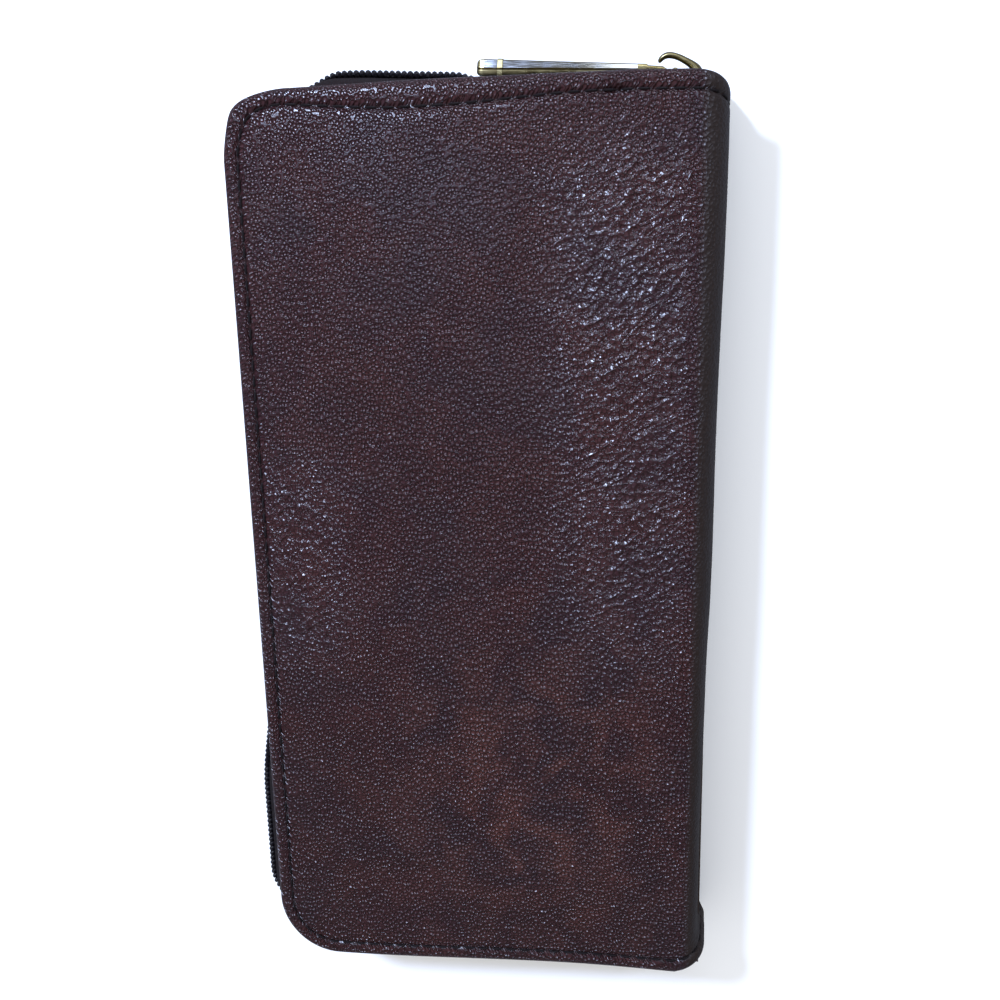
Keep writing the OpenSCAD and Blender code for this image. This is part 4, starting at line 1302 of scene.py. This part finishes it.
class WALLET_OT_spine_tabs(bpy.types.Operator):
    """Adds the leather tabs that close the wallet behind the zip's ends"""

    bl_idname = "wallet.spine_tabs"
    bl_label = "Spine tabs"

    def execute(self, context):
        for end in ("top", "bottom"):
            low, high = span(f"spine_tab_{end}")
            points, faces, places = flat_sheet(low, high, 1, bow=0.05, seed=3, step=1.0)
            tab = new_piece(f"spine_tab_piece_{end}", points, faces, places)
            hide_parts(f"spine_tab_{end}")
            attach(dress(tab, "inner_leather"), "spine")
        return {"FINISHED"}


class WALLET_OT_cards(bpy.types.Operator):
    """Builds the card panels, their leaves, rails and seams"""

    bl_idname = "wallet.cards"
    bl_label = "Card panels"

    def execute(self, context):
        for side in ("front", "back"):
            body = f"{side}_cover"
            panel = new_piece(
                f"card_panel_{side}", *flat_sheet(*span(f"{side}_card_panel"), 2, bow=0.06, seed=7)
            )
            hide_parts(f"{side}_card_panel")
            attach(dress(panel, "inner_fabric"), body)
            rails = bevelled(f"{side}_panel_rails", f"panel_rails_{side}", 0.2)
            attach(dress(rails, "inner_leather"), body)
            seams = bevelled(f"{side}_card_seams", f"card_seams_{side}", 0.18)
            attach(dress(seams, "inner_leather"), body)
            rows = []
            for number in range(1, 5):
                low, high = span(f"{side}_card_leaf_{number}")
                columns = []
                for sign in (-1, 1):
                    inner, outer = 1.5, high[1]
                    y_low, y_high = sorted((sign * inner, sign * outer))
                    columns.append(flat_sheet(
                        np.array([low[0], y_low, low[2]]), np.array([high[0], y_high, high[2]]), 2,
                        bow=0.05, seed=number * 3 + sign,
                    ))
                    face = low[2] if side == "front" else high[2]
                    away = -1.0 if side == "front" else 1.0
                    y = np.linspace(y_low + 1, y_high - 1, 80)
                    line = np.column_stack([np.full(80, low[0] + 1.3), y, np.full(80, face + away * 0.05)])
                    rows += stitch_row(
                        line, np.tile([0, 0, away], (80, 1)), 2.2, 1.7, 0.3, 0.25
                    )
                leaf = new_piece(f"card_leaf_{side}_{number}", *join_parts(columns))
                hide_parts(f"{side}_card_leaf_{number}")
                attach(dress(leaf, "inner_leather"), body)
            sewn = new_piece(f"card_stitches_{side}", *join_parts(rows))
            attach(dress(sewn, "thread"), body)
        return {"FINISHED"}


class WALLET_OT_gussets(bpy.types.Operator):
    """Folds the cloth at the ends of the note compartments"""

    bl_idname = "wallet.gussets"
    bl_label = "Gussets"

    def execute(self, context):
        for side in ("front", "back"):
            for end in ("top", "bottom"):
                gusset_sheet(side, end)
        return {"FINISHED"}


class WALLET_OT_coin_pocket(bpy.types.Operator):
    """Builds the coin pocket's walls, seams, tapes and coils"""

    bl_idname = "wallet.coin_pocket"
    bl_label = "Coin pocket"

    def execute(self, context):
        for side in ("front", "back"):
            wall = new_piece(
                f"coin_pocket_wall_{side}", *flat_sheet(*span(f"coin_wall_{side}"), 2, bow=0.03, seed=13)
            )
            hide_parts(f"coin_wall_{side}")
            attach(dress(wall, "inner_fabric"), "spine")
            low, high = span(f"coin_tape_{side}")
            t = 0.35
            x0 = low[0] + t
            shape = np.array([
                (x0 - t / 2, MID_Z + 1.65), (x0 - t / 2, MID_Z + 2.4), (x0 - t / 2, MID_Z + 3.15),
                (x0 + 0.5, MID_Z + 2.95), (x0 + 2.2, MID_Z + 2.1), (x0 + 4.4, MID_Z + 1.02),
                (high[0] - 3, MID_Z + 1.02), (high[0], MID_Z + 1.02),
            ])
            y = np.linspace(low[1], high[1], 90)
            grid = np.zeros((len(y), len(shape), 3))
            grid[..., 0] = shape[:, 0]
            grid[..., 1] = y[:, None]
            grid[..., 2] = shape[:, 1]
            points, faces, places = thick_sheet(grid, t - 0.03)
            tape = new_piece(
                f"coin_zip_tape_{side}", to_side(points, side), faces, places, flip=side == "back"
            )
            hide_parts(f"coin_tape_{side}")
            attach(dress(tape, "zip_tape"), "spine")
            low, high = span(f"coin_coil_{side}")
            count = 60
            x_mid = (low[0] + high[0]) / 2
            z_mid = MID_Z + (1 if side == "front" else -1) * 0.95
            line = np.column_stack([
                np.full(count, x_mid), np.linspace(high[1], low[1], count), np.full(count, z_mid)
            ])
            outward = np.tile([-1.0, 0.0, 0.0], (count, 1))
            up = np.tile([0.0, 0.0, 1.0], (count, 1))
            shift = 0.0 if side == "front" else 0.5
            spiral = coil_wire(line, outward, up, 0.8, 0.32, 1.15, 0.26, shift)
            cord = tube(line, outward, up, 0.24, 0.66)
            coil = new_piece(f"coin_zip_coil_{side}", *join_parts([spiral, cord]))
            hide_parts(f"coin_coil_{side}")
            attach(dress(coil, "zip_coil"), "spine")
        seams = bevelled("coin_seams", "coin_pocket_seams", 0.15)
        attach(dress(seams, "inner_leather"), "spine")
        stops = bevelled("coin_stops", "coin_zip_stops", 0.2)
        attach(dress(stops, "antique_brass"), "spine")
        return {"FINISHED"}


class WALLET_OT_coin_slider(bpy.types.Operator):
    """Makes the coin pocket's slider, its loop and its puller"""

    bl_idname = "wallet.coin_slider"
    bl_label = "Coin slider"

    def execute(self, context):
        for node, name, width, body in (
            ("coin_slider_body", "coin_slider_piece", 0.2, "coin_slider"),
            ("coin_slider_loop", "coin_slider_loop_piece", 0.22, "coin_slider"),
            ("coin_puller", "coin_zip_puller", 0.2, "coin_puller"),
        ):
            piece = bevelled(node, name, width, 3)
            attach(dress(piece, "antique_brass"), body)
        return {"FINISHED"}


class WALLET_OT_stage(bpy.types.Operator):
    """Sets up the plain floor, the soft light and the camera"""

    bl_idname = "wallet.stage"
    bl_label = "Stage"

    def execute(self, context):
        scene = context.scene
        size, count = 6000.0, 25
        u, v = np.meshgrid(np.linspace(-1, 1, count), np.linspace(-1, 1, count), indexing="ij")
        grid = np.stack([u * size, v * size, np.full_like(u, -0.15)], axis=2)
        floor = new_piece("floor", grid, [tuple(reversed(f)) for f in grid_faces(count, count)], flip=True)
        dress(floor, "pale_floor")

        world = bpy.data.worlds.new("soft_room")
        world.use_nodes = True
        background = world.node_tree.nodes["Background"]
        background.inputs["Color"].default_value = (1.0, 1.0, 1.0, 1.0)
        path = put(world.node_tree, "ShaderNodeLightPath")
        glossy = remap(world.node_tree, path.outputs["Is Glossy Ray"], 0.0, 1.0, 0.84, 0.16)
        world.node_tree.links.new(glossy, background.inputs["Strength"])
        scene.world = world
        for name, place, width, power, tint in (
            ("window_light", (-0.25, 0.33, 0.5), 0.1, 6.2, (0.58, 0.70, 1.0)),
            ("far_light", (0.1, 0.95, 0.55), 0.6, 3.2, (0.8, 0.88, 1.0)),
            ("room_light", (0.36, 0.34, 0.52), 0.09, 1.2, (0.66, 0.78, 1.0)),
        ):
            light = bpy.data.lights.new(name, "AREA")
            light.shape, light.size, light.energy, light.color = "DISK", width, power, tint
            lamp = bpy.data.objects.new(name, light)
            lamp.location = place
            lamp.rotation_mode = "QUATERNION"
            lamp.rotation_quaternion = (-Vector(place)).to_track_quat("-Z", "Y")
            lamp.visible_camera = False
            scene.collection.objects.link(lamp)

        lens = bpy.data.cameras.new("camera")
        lens.sensor_width, lens.lens = 36.0, 39.6
        lens.clip_start, lens.clip_end = 0.01, 50.0
        camera = bpy.data.objects.new("camera", lens)
        place, aim, roll = Vector((0.04542, 0.07009, 0.24143)), Vector((0.00086, 0.0092, 0.0)), 1.258
        look = (aim - place).normalized()
        right = look.cross(Vector((0, 1, 0))).normalized()
        upright = right.cross(look).normalized()
        turn = math.radians(roll)
        up = upright * math.cos(turn) + right * math.sin(turn)
        side = look.cross(up).normalized()
        camera.matrix_world = Matrix((
            (side.x, up.x, -look.x, place.x), (side.y, up.y, -look.y, place.y),
            (side.z, up.z, -look.z, place.z), (0, 0, 0, 1),
        ))
        scene.collection.objects.link(camera)
        scene.camera = camera
        scene.view_settings.view_transform = "Standard"
        return {"FINISHED"}


STEPS = (
    WALLET_OT_leather, WALLET_OT_lining, WALLET_OT_stitches, WALLET_OT_zip, WALLET_OT_slider,
    WALLET_OT_spine_tabs, WALLET_OT_cards, WALLET_OT_gussets, WALLET_OT_coin_pocket,
    WALLET_OT_coin_slider, WALLET_OT_stage,
)


class WALLET_PT_build(bpy.types.Panel):
    """Lists the wallet's settings and the steps that build it"""

    bl_idname = "WALLET_PT_build"
    bl_label = "Zip around wallet"
    bl_space_type = "VIEW_3D"
    bl_region_type = "UI"
    bl_category = "Wallet"

    def draw(self, context):
        for settings in (context.scene.wallet_sizes, context.scene.wallet_colours):
            for key in settings.__annotations__:
                self.layout.prop(settings, key)
        for step in STEPS:
            self.layout.operator(step.bl_idname)


CLASSES = (WalletSizes, WalletColours, *STEPS, WALLET_PT_build)


def register():
    for made in CLASSES:
        bpy.utils.register_class(made)
    bpy.types.Scene.wallet_sizes = bpy.props.PointerProperty(type=WalletSizes)
    bpy.types.Scene.wallet_colours = bpy.props.PointerProperty(type=WalletColours)


def unregister():
    del bpy.types.Scene.wallet_sizes
    del bpy.types.Scene.wallet_colours
    for made in reversed(CLASSES):
        bpy.utils.unregister_class(made)


def main():
    register()
    for step in STEPS:
        family, name = step.bl_idname.split(".")
        getattr(getattr(bpy.ops, family), name)()
    bpy.context.view_layer.update()


if __name__ == "__main__":
    main()
